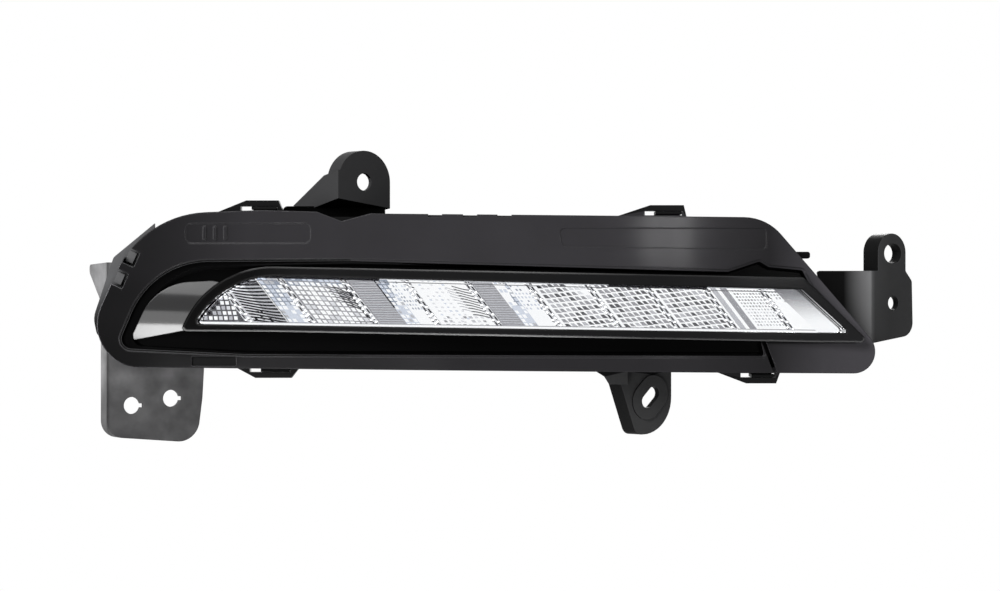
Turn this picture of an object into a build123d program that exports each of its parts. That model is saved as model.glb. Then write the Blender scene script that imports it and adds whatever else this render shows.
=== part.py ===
from build123d import *
import os
from math import cos, radians, sin, sqrt

# A car's daytime running light: front face towards -Y, long side along X, +Z up, millimetres.
# The origin is the centre of the top ear's bolt hole, on the ear's front face.
# Front views are drawn about the lamp's datum: u to the right, v up, depth to the rear.

# Bezel: ends and edges from the datum, face and walls
left_end = 162.8
right_end = 151.0
top_edge = 31.0
bottom_edge = 31.6
face_radius = 1200.0
flange_wall = 2.5
skirt_wall = 2.2

# Stack of flat seats, as depths behind the middle of the bezel's face
floor_front = 14.5
floor_wall = 2.5
skirt_rear = 20.0
carrier_wall = 2.5
housing_rear = 58.0

# Fits
slip = 0.4
snug = 0.2
seat_gap = 0.1

# Lens surround and lens
surround_left_depth = 15.0
surround_mid_depth = 3.0
surround_right_depth = 3.4
surround_wall = 2.5
lens_recess = 0.4
lens_wall = 2.0
lens_leg_wall = 1.1
collar_wall = 2.0
seal_thickness = 1.2

# Reflector: slanted cells on a mirror that leans back
cell_count = 10
cell_pitch = 23.7
first_rib = -110.0
rib_level = 4.0
rib_slant = 0.76
mirror_lean = 1.1
rib_width = 1.6
rib_height = 1.2
cell_sag = 2.4
mirror_wall = 2.2
mirror_gap = 7.5
blank_start = 110.0
blank_level = 2.6
blank_slant = 1.02
blank_wall = 2.4
reflector_flange_wall = 2.0

# Rear housing
housing_left = 127.0
housing_right = 131.0
housing_slant = 22.0
housing_top = 17.0
housing_bottom = 20.0
housing_corner = 10.0
housing_wall = 2.2
housing_flange = 7.0
housing_flange_wall = 3.0
housing_seal_wall = 1.0
back_chamfer = 4.0
back_rib_height = 2.4
back_rib_width = 1.8
back_rib_count = 7

# Harness socket and vent on the back
socket_u = 70.0
socket_v = -5.0
socket_width = 24.0
socket_height = 16.0
socket_wall = 2.0
socket_depth = 16.0
pin_pitch = 5.0
pin_count = 3
pin_width = 1.5
pin_reach = 11.0
vent_u = -92.0
vent_v = -4.0
vent_hole = 5.0
vent_cap_diameter = 15.0
vent_cap_height = 4.0

# Light engine
board_left = 108.0
board_right = 104.0
board_wall = 1.6
board_level = 8.4
board_front = 28.0
board_depth = 16.0
led_width = 3.5
led_height = 1.0
sink_base = 2.0
fin_height = 2.2
fin_wall = 1.2
fin_count = 24
driver_u = -30.0
driver_v = -5.0
driver_width = 80.0
driver_height = 20.0
driver_standoff = 5.2
lead_diameter = 1.6

# Fasteners
screw_diameter = 3.5
screw_head = 6.6
screw_head_height = 2.2
screw_grip = 2.6
small_screw = 2.2
small_head = 4.2
small_head_height = 1.5

# Brackets: their bolted faces are swept back from the lamp's face
sweep_angle = 37.0
left_sweep = 25.0
bolt_hole = 7.0
bracket_wall = 3.0
thin_wall = 1.8
foot_wall = 3.0
ear_radius = 12.7
ear_wall = 2.0
ear_block = 8.0
ear_centre_u = -55.0
ear_centre_v = 46.0
ear_hole_depth = 16.0
ear_gusset = 33.0
left_plate_u = -160.1
left_lip = 8.5
left_gusset = 24.0
right_lug_u = 151.9
small_bolt_hole = 5.8
tab_u = 48.0
tab_block = 7.8

# Datum planes: the lamp's datum stands off the ear's hole
lamp_datum = (-ear_centre_u, -ear_hole_depth, -ear_centre_v)
FACE = Plane(origin=lamp_datum, x_dir=(1, 0, 0), z_dir=(0, -1, 0))
PLAN = Plane(origin=lamp_datum, x_dir=(1, 0, 0), z_dir=(0, 0, 1))
SIDE = Plane(origin=lamp_datum, x_dir=(0, 1, 0), z_dir=(1, 0, 0))

# Depths and levels worked out from the stack
floor_rear = floor_front + floor_wall
carrier_rear = skirt_rear + carrier_wall
leg_rear = skirt_rear - seal_thickness
tub_front = carrier_rear + housing_seal_wall
tub_flange_rear = tub_front + housing_flange_wall
tub_inside = housing_rear - housing_wall
driver_rear = tub_inside - driver_standoff
driver_front = driver_rear - board_wall
board_top = board_level + board_wall
sink_top = board_top + sink_base + fin_height
reach = 400.0


def at(depth):
    """Plane of a front view at a depth behind the datum; its normal points to the front."""
    return FACE.offset(-depth)


def swept(u, depth, angle=sweep_angle):
    """Front face of a bracket: its near edge at u and depth, swept back to the right."""
    corner = PLAN.from_local_coords((u, depth, 0))
    along, back = cos(radians(angle)), sin(radians(angle))
    return Plane(origin=corner, x_dir=(along, back, 0), z_dir=(back, -along, 0))


def cheek(u, depth, angle=sweep_angle):
    """Left side of a bracket, square to its front face; x runs to the rear."""
    corner = PLAN.from_local_coords((u, depth, 0))
    along, back = cos(radians(angle)), sin(radians(angle))
    return Plane(origin=corner, x_dir=(-back, along, 0), z_dir=(along, back, 0))


def outline(corners, radii=0.0, grow=0.0):
    """Closed outline with rounded corners, grown or shrunk all round."""
    with BuildSketch() as shape:
        with BuildLine():
            FilletPolyline(*corners, radius=radii, close=True)
        make_face()
        if grow:
            offset(amount=grow)
    return shape.sketch


def box_shape(left, right, bottom, top, radius=0.0, grow=0.0):
    """Rectangle between four edges, with rounded corners if a radius is given."""
    corners = [(left, bottom), (right, bottom), (right, top), (left, top)]
    return outline(corners, radius, grow)


def discs(spots, diameter):
    """Round spots of one diameter."""
    with BuildSketch() as shape:
        with Locations(*spots):
            Circle(diameter / 2)
    return shape.sketch


def turned_box(u, v, width, height, angle):
    """Rectangle about a point, turned by an angle."""
    with BuildSketch() as shape:
        with Locations((u, v)):
            Rectangle(width, height, rotation=angle)
    return shape.sketch


def slab(shape, front, rear, mode=Mode.ADD):
    """Front-view shape made solid between two depths."""
    extrude(at(rear) * shape, amount=rear - front, mode=mode)


def in_front_of(left, middle, right, depth):
    """All space in front of a face curved in plan, set back by a depth."""
    with BuildPart() as space:
        with BuildSketch(PLAN):
            with BuildLine():
                face_line = ThreePointArc(
                    (left[0], left[1] + depth),
                    (middle[0], middle[1] + depth),
                    (right[0], right[1] + depth),
                )
                Polyline(face_line @ 1, (right[0], -reach), (left[0], -reach), face_line @ 0)
            make_face()
        extrude(amount=reach, both=True)
    return space.part


def before_bezel(depth):
    """Space in front of the bezel's face, set back by a depth."""
    half = reach / 2
    sag = half * half / (2 * face_radius)
    return in_front_of((-half, sag), (0, 0), (half, sag), depth)


def before_surround(depth):
    """Space in front of the lens surround's face, set back by a depth."""
    return in_front_of(
        (-left_end, surround_left_depth),
        (0, surround_mid_depth),
        (right_end, surround_right_depth),
        depth,
    )


def surround_line(u):
    """Depth of the lens surround's face, as a quadratic through the arc's three points."""
    rise_left = (surround_left_depth - surround_mid_depth) / left_end
    rise_right = (surround_right_depth - surround_mid_depth) / right_end
    curve = (rise_left + rise_right) / (left_end + right_end)
    return surround_mid_depth + (rise_right - curve * right_end) * u + curve * u * u


def under_bezel_face(shape, depth):
    """Front-view shape cut down from the bezel's face by a depth."""
    with BuildPart() as cut:
        slab(shape, -reach, skirt_rear)
        add(before_bezel(depth), mode=Mode.INTERSECT)
    return cut.part


def bezel_shape(grow=0.0):
    """Outer outline of the bezel."""
    corners = [
        (-left_end - 9.3, 2.9 - bottom_edge),
        (right_end + 11.0, -bottom_edge),
        (right_end - 44.0, top_edge + 0.4),
        (114.8 - left_end, top_edge + 1.8),
        (66.8 - left_end, top_edge + 3.3),
        (18.5 - left_end, top_edge + 1.6),
    ]
    return outline(corners, [17.2, 8.8, 20.0, 90.0, 90.0, 42.0], grow)


def opening_shape(left=0.0, top=0.0, bottom=0.0, grow=0.0):
    """Opening in the bezel; its left, top and bottom edges can be drawn in."""
    corners = [
        (8.2 + left - left_end, 10.4 + bottom - bottom_edge),
        (60.8 - left_end, 8.0 + bottom - bottom_edge),
        (right_end - 44.8, 7.3 + bottom - bottom_edge),
        (right_end - 46.3, 13.4 - bottom_edge),
        (right_end - 4.8, 13.4 - bottom_edge),
        (right_end - 25.8, top_edge - 27.8),
        (right_end - 29.5, top_edge - 20.9 - top / 2),
        (right_end - 43.0, top_edge - 19.6 - top / 2),
        (right_end - 46.8, top_edge - 17.3 - top / 2),
        (right_end - 59.5, top_edge - 21.5 - top / 2),
        (102.8 - left_end, top_edge - 17.2 - top),
        (23.1 + left - left_end, top_edge - 17.6 - 2 * top),
    ]
    return outline(corners, [4.0, 20.0, 1.0, 1.0, 1.5, 1.0, 1.0, 2.0, 1.5, 3.0, 20.0, 34.0], grow)


def surround_shape(grow=0.0):
    """Outer outline of the lens surround."""
    corners = [
        (34.0 - left_end, 17.2 - bottom_edge),
        (72.8 - left_end, 17.0 - bottom_edge),
        (right_end - 23.0, 12.9 - bottom_edge),
        (right_end - 2.6, 12.8 - bottom_edge),
        (right_end - 29.3, top_edge - 23.8),
        (46.2 - left_end, top_edge - 18.8),
    ]
    return outline(corners, [1.5, 60.0, 60.0, 1.5, 1.0, 39.0], grow)


def skirt_of_surround():
    """Wall of the surround that stands on the recess floor, clear of the bezel's opening."""
    corners = [
        (34.6 - left_end, 17.7 - bottom_edge),
        (72.8 - left_end, 17.5 - bottom_edge),
        (right_end - 19.0, 14.3 - bottom_edge),
        (right_end - 15.4, 14.3 - bottom_edge),
        (right_end - 31.6, top_edge - 24.3),
        (46.5 - left_end, top_edge - 19.3),
    ]
    return outline(corners, [1.5, 60.0, 1.0, 1.0, 1.0, 38.0])


def window_shape(grow=0.0):
    """Lit window in the surround."""
    corners = [
        (39.2 - left_end, 20.1 - bottom_edge),
        (right_end - 10.6, 16.4 - bottom_edge),
        (right_end - 29.8, top_edge - 28.6),
        (52.8 - left_end, top_edge - 22.7),
    ]
    return outline(corners, [1.2, 1.0, 1.0, 37.0], grow)


def tub_shape(grow=0.0):
    """Outline of the rear housing's tub; its right side leans in like the bezel's."""
    corners = [
        (-housing_left, -housing_bottom),
        (housing_right, -housing_bottom),
        (housing_right - housing_slant, housing_top),
        (-housing_left, housing_top),
    ]
    return outline(corners, housing_corner, grow)


def screw_group(spots, seat, shank, grip, head, head_height):
    """Hexagon head screws driven from the rear, heads on a seat at one depth."""
    with BuildSketch() as heads:
        with Locations(*spots):
            RegularPolygon(head / 2, 6, major_radius=False)
    slab(heads.sketch, seat, seat + head_height)
    slab(discs(spots, shank), seat - grip, seat)


def write_piece(builder, name):
    """Name a finished piece and write it to its own file."""
    builder.part.label = name
    export_step(builder.part, f"parts/{name}.step")


os.makedirs("parts", exist_ok=True)

# Places that two or more pieces share
straps = [
    (48.3 - left_end, 60.6 - left_end, 73.6 - left_end, 75.6 - left_end, 1, top_edge + 7.3),
    (45.5, 60.5, 74.0, 75.2, 1, top_edge + 5.4),
    (55.0 - left_end, 64.3 - left_end, 78.8 - left_end, 82.8 - left_end, -1, -1.6 - bottom_edge),
    (right_end - 65.0, right_end - 51.9, right_end - 39.8, right_end - 38.0, -1, -3.8 - bottom_edge),
]
catch_spots = [(-148.6, 15.4), (-153.4, 6.8)]
catch_angle = 66.0
right_catch = box_shape(right_end - 39.0, right_end - 24.9, top_edge - 16.0, top_edge - 13.2, 1.0)
housing_screw_spots = [
    (u, v)
    for u in (-96.0, -32.0, 32.0, 96.0)
    for v in (housing_top + housing_flange / 2, -housing_bottom - housing_flange / 2)
]
ear_screw_spots = [(-77.0, 28.4), (-51.0, 28.4)]
left_screw_spots = [(-140.5, -13.0), (-139.5, 3.0)]
right_screw_spots = [(136.5, -24.2), (144.5, -24.2)]
reflector_screw_spots = [(u, housing_top - 5.0) for u in (-90.0, -30.0, 30.0, 90.0)]

# Bezel: curved flange, outer skirt, strap loops, pads and edge notches
strap_rise = 5.0
strap_wall = 2.4
strap_gap = 1.7
tongue_side = 2.2
strap_front = 8.0
strap_rear = 15.0
edge_step = 0.9
edge_step_depth = 0.5
pad_depth = 0.35
edge_notch_spots = [-26.0, -12.0, 1.8]
edge_notch_width = 5.6
edge_notch_depth = 1.5
rib_spots = [-118.8, -114.6, -110.4]
joint_gap = 1.6
ear_notch = [(-79.5, 12.0), (-79.5, 4.9), (-63.5, -1.2), (-45.5, 3.6), (-45.5, 12.0)]
left_pad = box_shape(-126.5, -76.0, top_edge - 10.0, top_edge - 2.0, 2.5)
right_pad = outline(
    [
        (25.0, top_edge - 11.4),
        (right_end - 44.0, top_edge - 12.6),
        (right_end - 44.0, top_edge - 4.0),
        (23.6, top_edge - 4.0),
    ],
    2.0,
)
lower_pocket = box_shape(-124.0, -106.0, 3.3 - bottom_edge, 7.0 - bottom_edge, 0.5)
joint_line = outline(
    [
        (right_end - 46.2, 14.0 - bottom_edge),
        (right_end - 40.6, -1.0 - bottom_edge),
        (right_end - 40.6 + joint_gap, -1.0 - bottom_edge),
        (right_end - 46.2 + joint_gap, 14.0 - bottom_edge),
    ]
)

strap_sides = []
tongues = []
for foot_left, crest_left, crest_right, foot_right, outward, crest in straps:
    foot = crest - outward * strap_rise
    gap_outer = crest - outward * strap_wall
    gap_inner = gap_outer - outward * strap_gap
    strap_side = outline(
        [(foot_left, foot), (foot_right, foot), (crest_right, crest), (crest_left, crest)]
    )
    strap_hole = box_shape(crest_left - tongue_side, crest_right - slip, gap_inner, gap_outer)
    tongue_left = crest_left + tongue_side
    tongue_right = crest_right - 2 * slip
    tongue_crest = gap_outer - outward * seat_gap
    tongue = box_shape(tongue_left, tongue_right, gap_inner + outward * slip, tongue_crest)
    tongue_root = box_shape(tongue_left, tongue_right, foot - outward * strap_wall, tongue_crest)
    strap_sides.append(strap_side - strap_hole)
    tongues.append((tongue, tongue_root))

bezel_hollow = BuildPart()
with bezel_hollow:
    slab(bezel_shape(-skirt_wall), 0, skirt_rear)
    add(before_bezel(flange_wall), mode=Mode.SUBTRACT)

bezel_ribs = BuildPart()
with bezel_ribs:
    for rib_u in rib_spots:
        rib = box_shape(rib_u - 0.7, rib_u + 0.7, top_edge - 8.6, top_edge - 3.2, 0.5)
        slab(rib, 0, floor_front / 2)
    add(before_bezel(-edge_step_depth), mode=Mode.SUBTRACT)

with BuildPart() as bezel_frame:
    slab(bezel_shape(), -flange_wall, skirt_rear)
    add(before_bezel(0), mode=Mode.SUBTRACT)
    add(bezel_hollow.part, mode=Mode.SUBTRACT)
    slab(opening_shape(), -reach, skirt_rear, mode=Mode.SUBTRACT)
    add(under_bezel_face(opening_shape(grow=edge_step), edge_step_depth), mode=Mode.SUBTRACT)
    for pad in (left_pad, right_pad):
        add(under_bezel_face(pad, pad_depth), mode=Mode.SUBTRACT)
    add(under_bezel_face(lower_pocket, flange_wall / 2), mode=Mode.SUBTRACT)
    add(under_bezel_face(joint_line, flange_wall + slip), mode=Mode.SUBTRACT)
    add(bezel_ribs.part)
    for strap_side in strap_sides:
        slab(strap_side, strap_front, strap_rear)
    slab(outline([(u, top_edge + v) for u, v in ear_notch]), -reach, skirt_rear, mode=Mode.SUBTRACT)
    for notch_u in edge_notch_spots:
        notch = turned_box(notch_u, top_edge + 1.9, edge_notch_width, 2 * edge_notch_depth, 0)
        slab(notch, -reach, floor_front, mode=Mode.SUBTRACT)
    for catch_u, catch_v in catch_spots:
        notch = turned_box(catch_u, catch_v, 6.4, 5.0, catch_angle)
        slab(notch, -reach, skirt_rear, mode=Mode.SUBTRACT)
write_piece(bezel_frame, "bezel_frame")

# Recess panel: gloss tray under the opening, drafted walls and the wing at its left end
panel_lip = 3.0
pocket_left = 5.0
pocket_top = 1.6
pocket_bottom = 1.2
wing_crest = 10.6
wing_radius = 46.0
wing_shape = outline(
    [
        (13.2 - left_end, 13.3 - bottom_edge),
        (50.8 - left_end, 20.4 - bottom_edge),
        (58.8 - left_end, top_edge - 24.4),
        (24.3 - left_end, top_edge - 26.2),
    ],
    [1.0, 1.0, 8.0, 22.0],
)

pocket = BuildPart()
with pocket:
    rear_shape = opening_shape(left=pocket_left, top=pocket_top, bottom=pocket_bottom)
    with BuildSketch(at(0)):
        add(opening_shape())
    with BuildSketch(at(floor_front)):
        add(rear_shape)
    loft(ruled=True)

wing = BuildPart()
with wing:
    slab(wing_shape - surround_shape(snug), 0, floor_front + seat_gap)
    wing_axis = Location(
        FACE.from_local_coords((-125.0, -5.0, -wing_crest - wing_radius)), (0, 90, 0)
    )
    add(Cylinder(wing_radius, reach, mode=Mode.PRIVATE).moved(wing_axis), mode=Mode.INTERSECT)

panel_shape = opening_shape(grow=panel_lip) & bezel_shape(-skirt_wall - slip)
with BuildPart() as recess_panel:
    slab(panel_shape, 0, floor_rear)
    add(before_bezel(flange_wall + seat_gap), mode=Mode.SUBTRACT)
    add(pocket.part, mode=Mode.SUBTRACT)
    add(wing.part)
    slab(window_shape(lens_leg_wall + 2 * snug), -reach, floor_rear, mode=Mode.SUBTRACT)
write_piece(recess_panel, "recess_panel")

# Lens surround: curved face round the window, on a wall that stands on the recess floor
surround_hollow = BuildPart()
with surround_hollow:
    slab(window_shape(lens_leg_wall + 2 * snug), -reach, floor_front)
    add(before_surround(surround_wall), mode=Mode.SUBTRACT)

surround_face = BuildPart()
with surround_face:
    slab(surround_shape(), -reach, floor_front)
    add(before_surround(0), mode=Mode.SUBTRACT)
    surround_back = before_surround(surround_wall)
    add(surround_back, mode=Mode.INTERSECT)

with BuildPart() as lens_surround:
    slab(skirt_of_surround(), 0, floor_front)
    add(before_surround(0), mode=Mode.SUBTRACT)
    add(surround_face.part)
    add(surround_hollow.part, mode=Mode.SUBTRACT)
    slab(window_shape(), -reach, floor_front, mode=Mode.SUBTRACT)
write_piece(lens_surround, "lens_surround")

# Outer lens: a hollow plug in the window, a flange behind the surround and a leg into the seal
lens_flange_depth = surround_wall + seat_gap
lens_plug = BuildPart()
with lens_plug:
    slab(window_shape(-snug), 0, floor_rear)
    add(before_surround(lens_recess), mode=Mode.SUBTRACT)
    add(before_surround(lens_flange_depth + lens_wall), mode=Mode.INTERSECT)

lens_hollow = BuildPart()
with lens_hollow:
    slab(window_shape(snug), 0, leg_rear)
    add(before_surround(lens_flange_depth + lens_wall), mode=Mode.SUBTRACT)

plug_hollow = BuildPart()
with plug_hollow:
    slab(window_shape(-snug - lens_leg_wall), 0, leg_rear)
    add(before_surround(lens_recess + lens_wall), mode=Mode.SUBTRACT)

with BuildPart() as outer_lens:
    slab(window_shape(lens_leg_wall + snug), 0, leg_rear)
    add(before_surround(lens_flange_depth), mode=Mode.SUBTRACT)
    add(lens_hollow.part, mode=Mode.SUBTRACT)
    add(lens_plug.part)
    add(plug_hollow.part, mode=Mode.SUBTRACT)
write_piece(outer_lens, "outer_lens")

lens_leg = window_shape(lens_leg_wall + snug) - window_shape(snug)
with BuildPart() as lens_seal:
    slab(lens_leg, leg_rear, skirt_rear)
write_piece(lens_seal, "lens_seal")

# Reflector: one scalloped strip, drawn in plan above the window and drawn down along its slant
strip_level = top_edge - 19.0
strip_fall = strip_level + bottom_edge - 14.0
strip_fade = strip_level - rib_level
strip_first = first_rib - rib_slant * strip_fade


def strip_line(u):
    """Depth of the mirror's ribs in plan at the strip's level, bowed like the surround."""
    return surround_line(u + rib_slant * strip_fall) + mirror_gap + mirror_lean * strip_fall


slant = (rib_slant, -mirror_lean, -1)
slant_length = strip_fall * sqrt(rib_slant**2 + mirror_lean**2 + 1)
rib_edges = [strip_first + cell_pitch * i for i in range(-2, cell_count + 2)]

blank_rise = blank_slant * reach
blank_foot = blank_start + blank_slant * blank_level
blank_region = outline(
    [
        (blank_foot - blank_rise, reach),
        (blank_foot + blank_rise, -reach),
        (2 * blank_rise, -reach),
        (2 * blank_rise, reach),
    ]
)
light_path = outline(
    [
        (-reach, 17.8 - bottom_edge),
        (36.8 - left_end, 17.8 - bottom_edge),
        (102.8 - left_end, 21.6 - bottom_edge),
        (0, 24.4 - bottom_edge),
        (reach, 25.4 - bottom_edge),
        (reach, reach),
        (-reach, reach),
    ]
)

mirror = BuildPart()
with mirror:
    with BuildSketch(PLAN.offset(strip_level)):
        with BuildLine():
            for rib_u, next_u in zip(rib_edges, rib_edges[1:]):
                left = (rib_u + rib_width / 2, strip_line(rib_u))
                right = (next_u - rib_width / 2, strip_line(next_u))
                middle = ((left[0] + right[0]) / 2, (left[1] + right[1]) / 2 + cell_sag)
                ThreePointArc(left, middle, right)
                tip_left = (right[0], right[1] - rib_height)
                tip_right = (next_u + rib_width / 2, right[1] - rib_height)
                Polyline(right, tip_left, tip_right, (tip_right[0], right[1]))
            start = (rib_edges[0] + rib_width / 2, strip_line(rib_edges[0]))
            end = (rib_edges[-1] + rib_width / 2, strip_line(rib_edges[-1]))
            rear = cell_sag + mirror_wall
            middle_u = (start[0] + end[0]) / 2
            Line(end, (end[0], end[1] + rear))
            ThreePointArc(
                (end[0], end[1] + rear),
                (middle_u, strip_line(middle_u) + rear),
                (start[0], start[1] + rear),
            )
            Line((start[0], start[1] + rear), start)
        make_face()
    extrude(amount=slant_length, dir=slant)
    slab(window_shape(-snug) - blank_region, 0, housing_rear, mode=Mode.INTERSECT)
    closed_part = window_shape(seat_gap) - (window_shape(-snug) & tub_shape(-housing_wall - snug))
    slab(closed_part, skirt_rear - seat_gap, housing_rear, mode=Mode.SUBTRACT)


with BuildPart() as reflector:
    add(mirror.part)
    slab(window_shape(-snug) & blank_region, leg_rear - blank_wall, leg_rear)
    flange_opening = window_shape(-snug - rib_width) & light_path
    flange_rear = carrier_rear + reflector_flange_wall
    slab(tub_shape(-housing_wall - slip) - flange_opening, carrier_rear, flange_rear)
    slab(discs(reflector_screw_spots, small_screw + slip), 0, flange_rear, mode=Mode.SUBTRACT)
write_piece(reflector, "reflector")

with BuildPart() as reflector_screws:
    screw_group(
        reflector_screw_spots,
        flange_rear,
        small_screw,
        reflector_flange_wall + carrier_wall,
        small_head,
        small_head_height,
    )
write_piece(reflector_screws, "reflector_screws")

# Carrier frame: flat plate behind the bezel, collar round the lens leg, catches and the lower tab
boss_diameter = 6.4
left_rim = outline(
    [
        (22.3 - left_end, top_edge - 1.7),
        (5.6 - left_end, top_edge - 15.5),
        (-2.6 - left_end, 22.6 - bottom_edge),
        (-0.7 - left_end, 13.6 - bottom_edge),
        (22.8 - left_end, 21.6 - bottom_edge),
    ],
    [0, 3.0, 10.0, 3.0, 0],
)
plate_shape = bezel_shape(-slip) + left_rim
inside_skirt = bezel_shape(-skirt_wall - slip)
driven_spots = ear_screw_spots + left_screw_spots + right_screw_spots + housing_screw_spots
chamber_shape = window_shape(seat_gap) & tub_shape(-housing_wall)
lens_seat = lens_leg_wall + 2 * snug
ear_relief = box_shape(-85.0, -43.0, top_edge + 1.0, reach)
tab_plane = swept(tab_u, skirt_rear)
tab_slot_spot = (16.6, -10.1 - bottom_edge)
tab_slot_turn = 43.0
tab_slot_length = 10.2
tab_slot_width = 5.6
tab_pad_margin = 9.6
tab_pad_height = 0.7
tab_width = 28.3
tab_top = 3.0 - bottom_edge
tab_bottom = tab_top - tab_width
tab_web = 2.2
tab_round = 15.0
tab_foot_round = 4.0
tab_foot_run = 3.4
tab_face = outline(
    [
        (0, tab_top),
        (0, tab_top - tab_block / 2),
        (tab_width / 3, tab_bottom),
        (tab_width, tab_bottom),
        (tab_width, tab_top),
    ],
    [0, 6.0, tab_foot_round, min(tab_round, tab_width * 2 / 3 - tab_foot_run), 0],
)
tab_flare = outline(
    [
        (tab_u - 11.0, tab_top - 1.0),
        (tab_u - 5.6, tab_top - 4.4),
        (tab_u - 3.6, tab_top - 7.6),
        (tab_u + 4.0, tab_top - 7.6),
        (tab_u + 4.0, tab_top),
        (tab_u - 11.0, tab_top),
    ]
)

with BuildPart() as carrier_frame:
    slab(plate_shape, skirt_rear, carrier_rear)
    slab(inside_skirt - bezel_shape(-2 * skirt_wall - slip), floor_rear, skirt_rear)
    slab(window_shape(lens_seat + collar_wall) & inside_skirt, floor_rear, skirt_rear)
    slab(discs(driven_spots, boss_diameter) & inside_skirt, floor_rear + slip, skirt_rear)
    slab(chamber_shape, 0, carrier_rear, mode=Mode.SUBTRACT)
    slab(ear_relief, 0, carrier_rear, mode=Mode.SUBTRACT)
    slab(window_shape(lens_seat), 0, skirt_rear, mode=Mode.SUBTRACT)
    for tongue, tongue_root in tongues:
        slab(tongue, strap_front - slip, carrier_rear)
        slab(tongue_root, skirt_rear, carrier_rear)
    for catch_u, catch_v in catch_spots:
        catch = turned_box(catch_u - 0.6, catch_v + 0.2, 4.6, 3.2, catch_angle)
        slab(catch, floor_front - 1.0, carrier_rear)
    slab(right_catch, skirt_rear, carrier_rear)
    slab(tab_flare, skirt_rear, carrier_rear)
    extrude(tab_plane * tab_face, amount=-tab_block)
    tab_inside = offset(tab_face, -thin_wall, mode=Mode.PRIVATE)
    extrude(tab_plane.offset(-thin_wall) * tab_inside, amount=-tab_block, mode=Mode.SUBTRACT)
    with BuildSketch(PLAN.offset(tab_top)):
        tab_end = PLAN.to_local_coords(tab_plane.from_local_coords((tab_width, 0, 0)))
        with BuildLine():
            Polyline(
                (tab_u, skirt_rear), (tab_end.X, skirt_rear), (tab_end.X, tab_end.Y), close=True
            )
        make_face()
    extrude(amount=-tab_web)
    with BuildSketch(tab_plane):
        with Locations(tab_slot_spot):
            SlotOverall(
                tab_slot_length + tab_pad_margin,
                tab_slot_width + tab_pad_margin,
                rotation=tab_slot_turn,
            )
    extrude(amount=tab_pad_height)
    with BuildSketch(tab_plane):
        with Locations(tab_slot_spot):
            SlotOverall(tab_slot_length, tab_slot_width, rotation=tab_slot_turn)
    extrude(amount=reach, both=True, mode=Mode.SUBTRACT)
    slab(discs(driven_spots, screw_diameter + slip), 0, carrier_rear, mode=Mode.SUBTRACT)
    slab(discs(reflector_screw_spots, small_screw + slip), skirt_rear, carrier_rear, mode=Mode.SUBTRACT)
write_piece(carrier_frame, "carrier_frame")

# Rear housing: drafted tub with a screw flange, back ribs, board standoffs and the harness socket
tub_draft = 1.0
rib_reach = 11.0
socket_shape = box_shape(
    socket_u - socket_width / 2,
    socket_u + socket_width / 2,
    socket_v - socket_height / 2,
    socket_v + socket_height / 2,
    3.0,
)
pin_spots = [(socket_u + pin_pitch * (i - (pin_count - 1) / 2), socket_v) for i in range(pin_count)]
standoff_diameter = 6.0
standoff_spots = [
    (driver_u + side * (driver_width / 2 - 5.0), driver_v + end * (driver_height / 2 - 4.0))
    for side in (-1, 1)
    for end in (-1, 1)
]
sink_foot = 4.4
sink_screw_spots = [(u, (board_top + sink_foot) / 2) for u in (-63.0, 9.0, 81.0)]
back_rib_first = -housing_left + housing_corner
back_rib_last = housing_right - housing_slant - housing_corner
back_rib_step = (back_rib_last - back_rib_first) / (back_rib_count - 1)
back_rib_spots = [back_rib_first + back_rib_step * i for i in range(back_rib_count)]

with BuildPart() as rear_housing:
    tub_depth = housing_rear - tub_front
    extrude(at(tub_front) * tub_shape(), amount=-tub_depth, taper=tub_draft)
    back_face = rear_housing.faces().sort_by(Axis.Y)[-1]
    chamfer(back_face.edges(), back_chamfer)
    slab(tub_shape(housing_flange), tub_front, tub_flange_rear)
    for rib_u in back_rib_spots:
        rib = box_shape(
            rib_u - back_rib_width / 2, rib_u + back_rib_width / 2, -rib_reach, rib_reach - 2.0
        )
        slab(rib, tub_inside, housing_rear + back_rib_height)
    slab(socket_shape, tub_inside, housing_rear + socket_depth)
    slab(discs([(vent_u, vent_v)], vent_cap_diameter + 2.0), tub_inside, housing_rear + 1.0)
    extrude(
        at(tub_front) * tub_shape(-housing_wall),
        amount=-(tub_inside - tub_front),
        taper=tub_draft,
        mode=Mode.SUBTRACT,
    )
    slab(discs(standoff_spots, standoff_diameter), driver_rear, tub_inside)
    socket_inside = offset(socket_shape, -socket_wall, mode=Mode.PRIVATE)
    slab(socket_inside, housing_rear, reach, mode=Mode.SUBTRACT)
    pin_hole_width = pin_width + 2 * seat_gap
    for pin_u, pin_v in pin_spots:
        pin_hole = turned_box(pin_u, pin_v, pin_hole_width, pin_hole_width, 0)
        slab(pin_hole, 0, reach, mode=Mode.SUBTRACT)
    slab(discs([(vent_u, vent_v)], vent_hole), 0, reach, mode=Mode.SUBTRACT)
    slab(discs(housing_screw_spots, screw_diameter + slip), 0, reach, mode=Mode.SUBTRACT)
    slab(discs(sink_screw_spots, small_screw + slip), tub_inside - 1.0, reach, mode=Mode.SUBTRACT)
    slab(discs(standoff_spots, small_screw + slip), 0, tub_inside, mode=Mode.SUBTRACT)
write_piece(rear_housing, "rear_housing")

with BuildPart() as housing_seal:
    slab(tub_shape(housing_flange) - tub_shape(), carrier_rear, tub_front)
    slab(discs(housing_screw_spots, screw_diameter + slip), 0, reach, mode=Mode.SUBTRACT)
write_piece(housing_seal, "housing_seal")

with BuildPart() as housing_screws:
    housing_grip = tub_flange_rear - skirt_rear + screw_grip
    screw_group(
        housing_screw_spots, tub_flange_rear, screw_diameter, housing_grip, screw_head, screw_head_height
    )
write_piece(housing_screws, "housing_screws")

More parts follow.
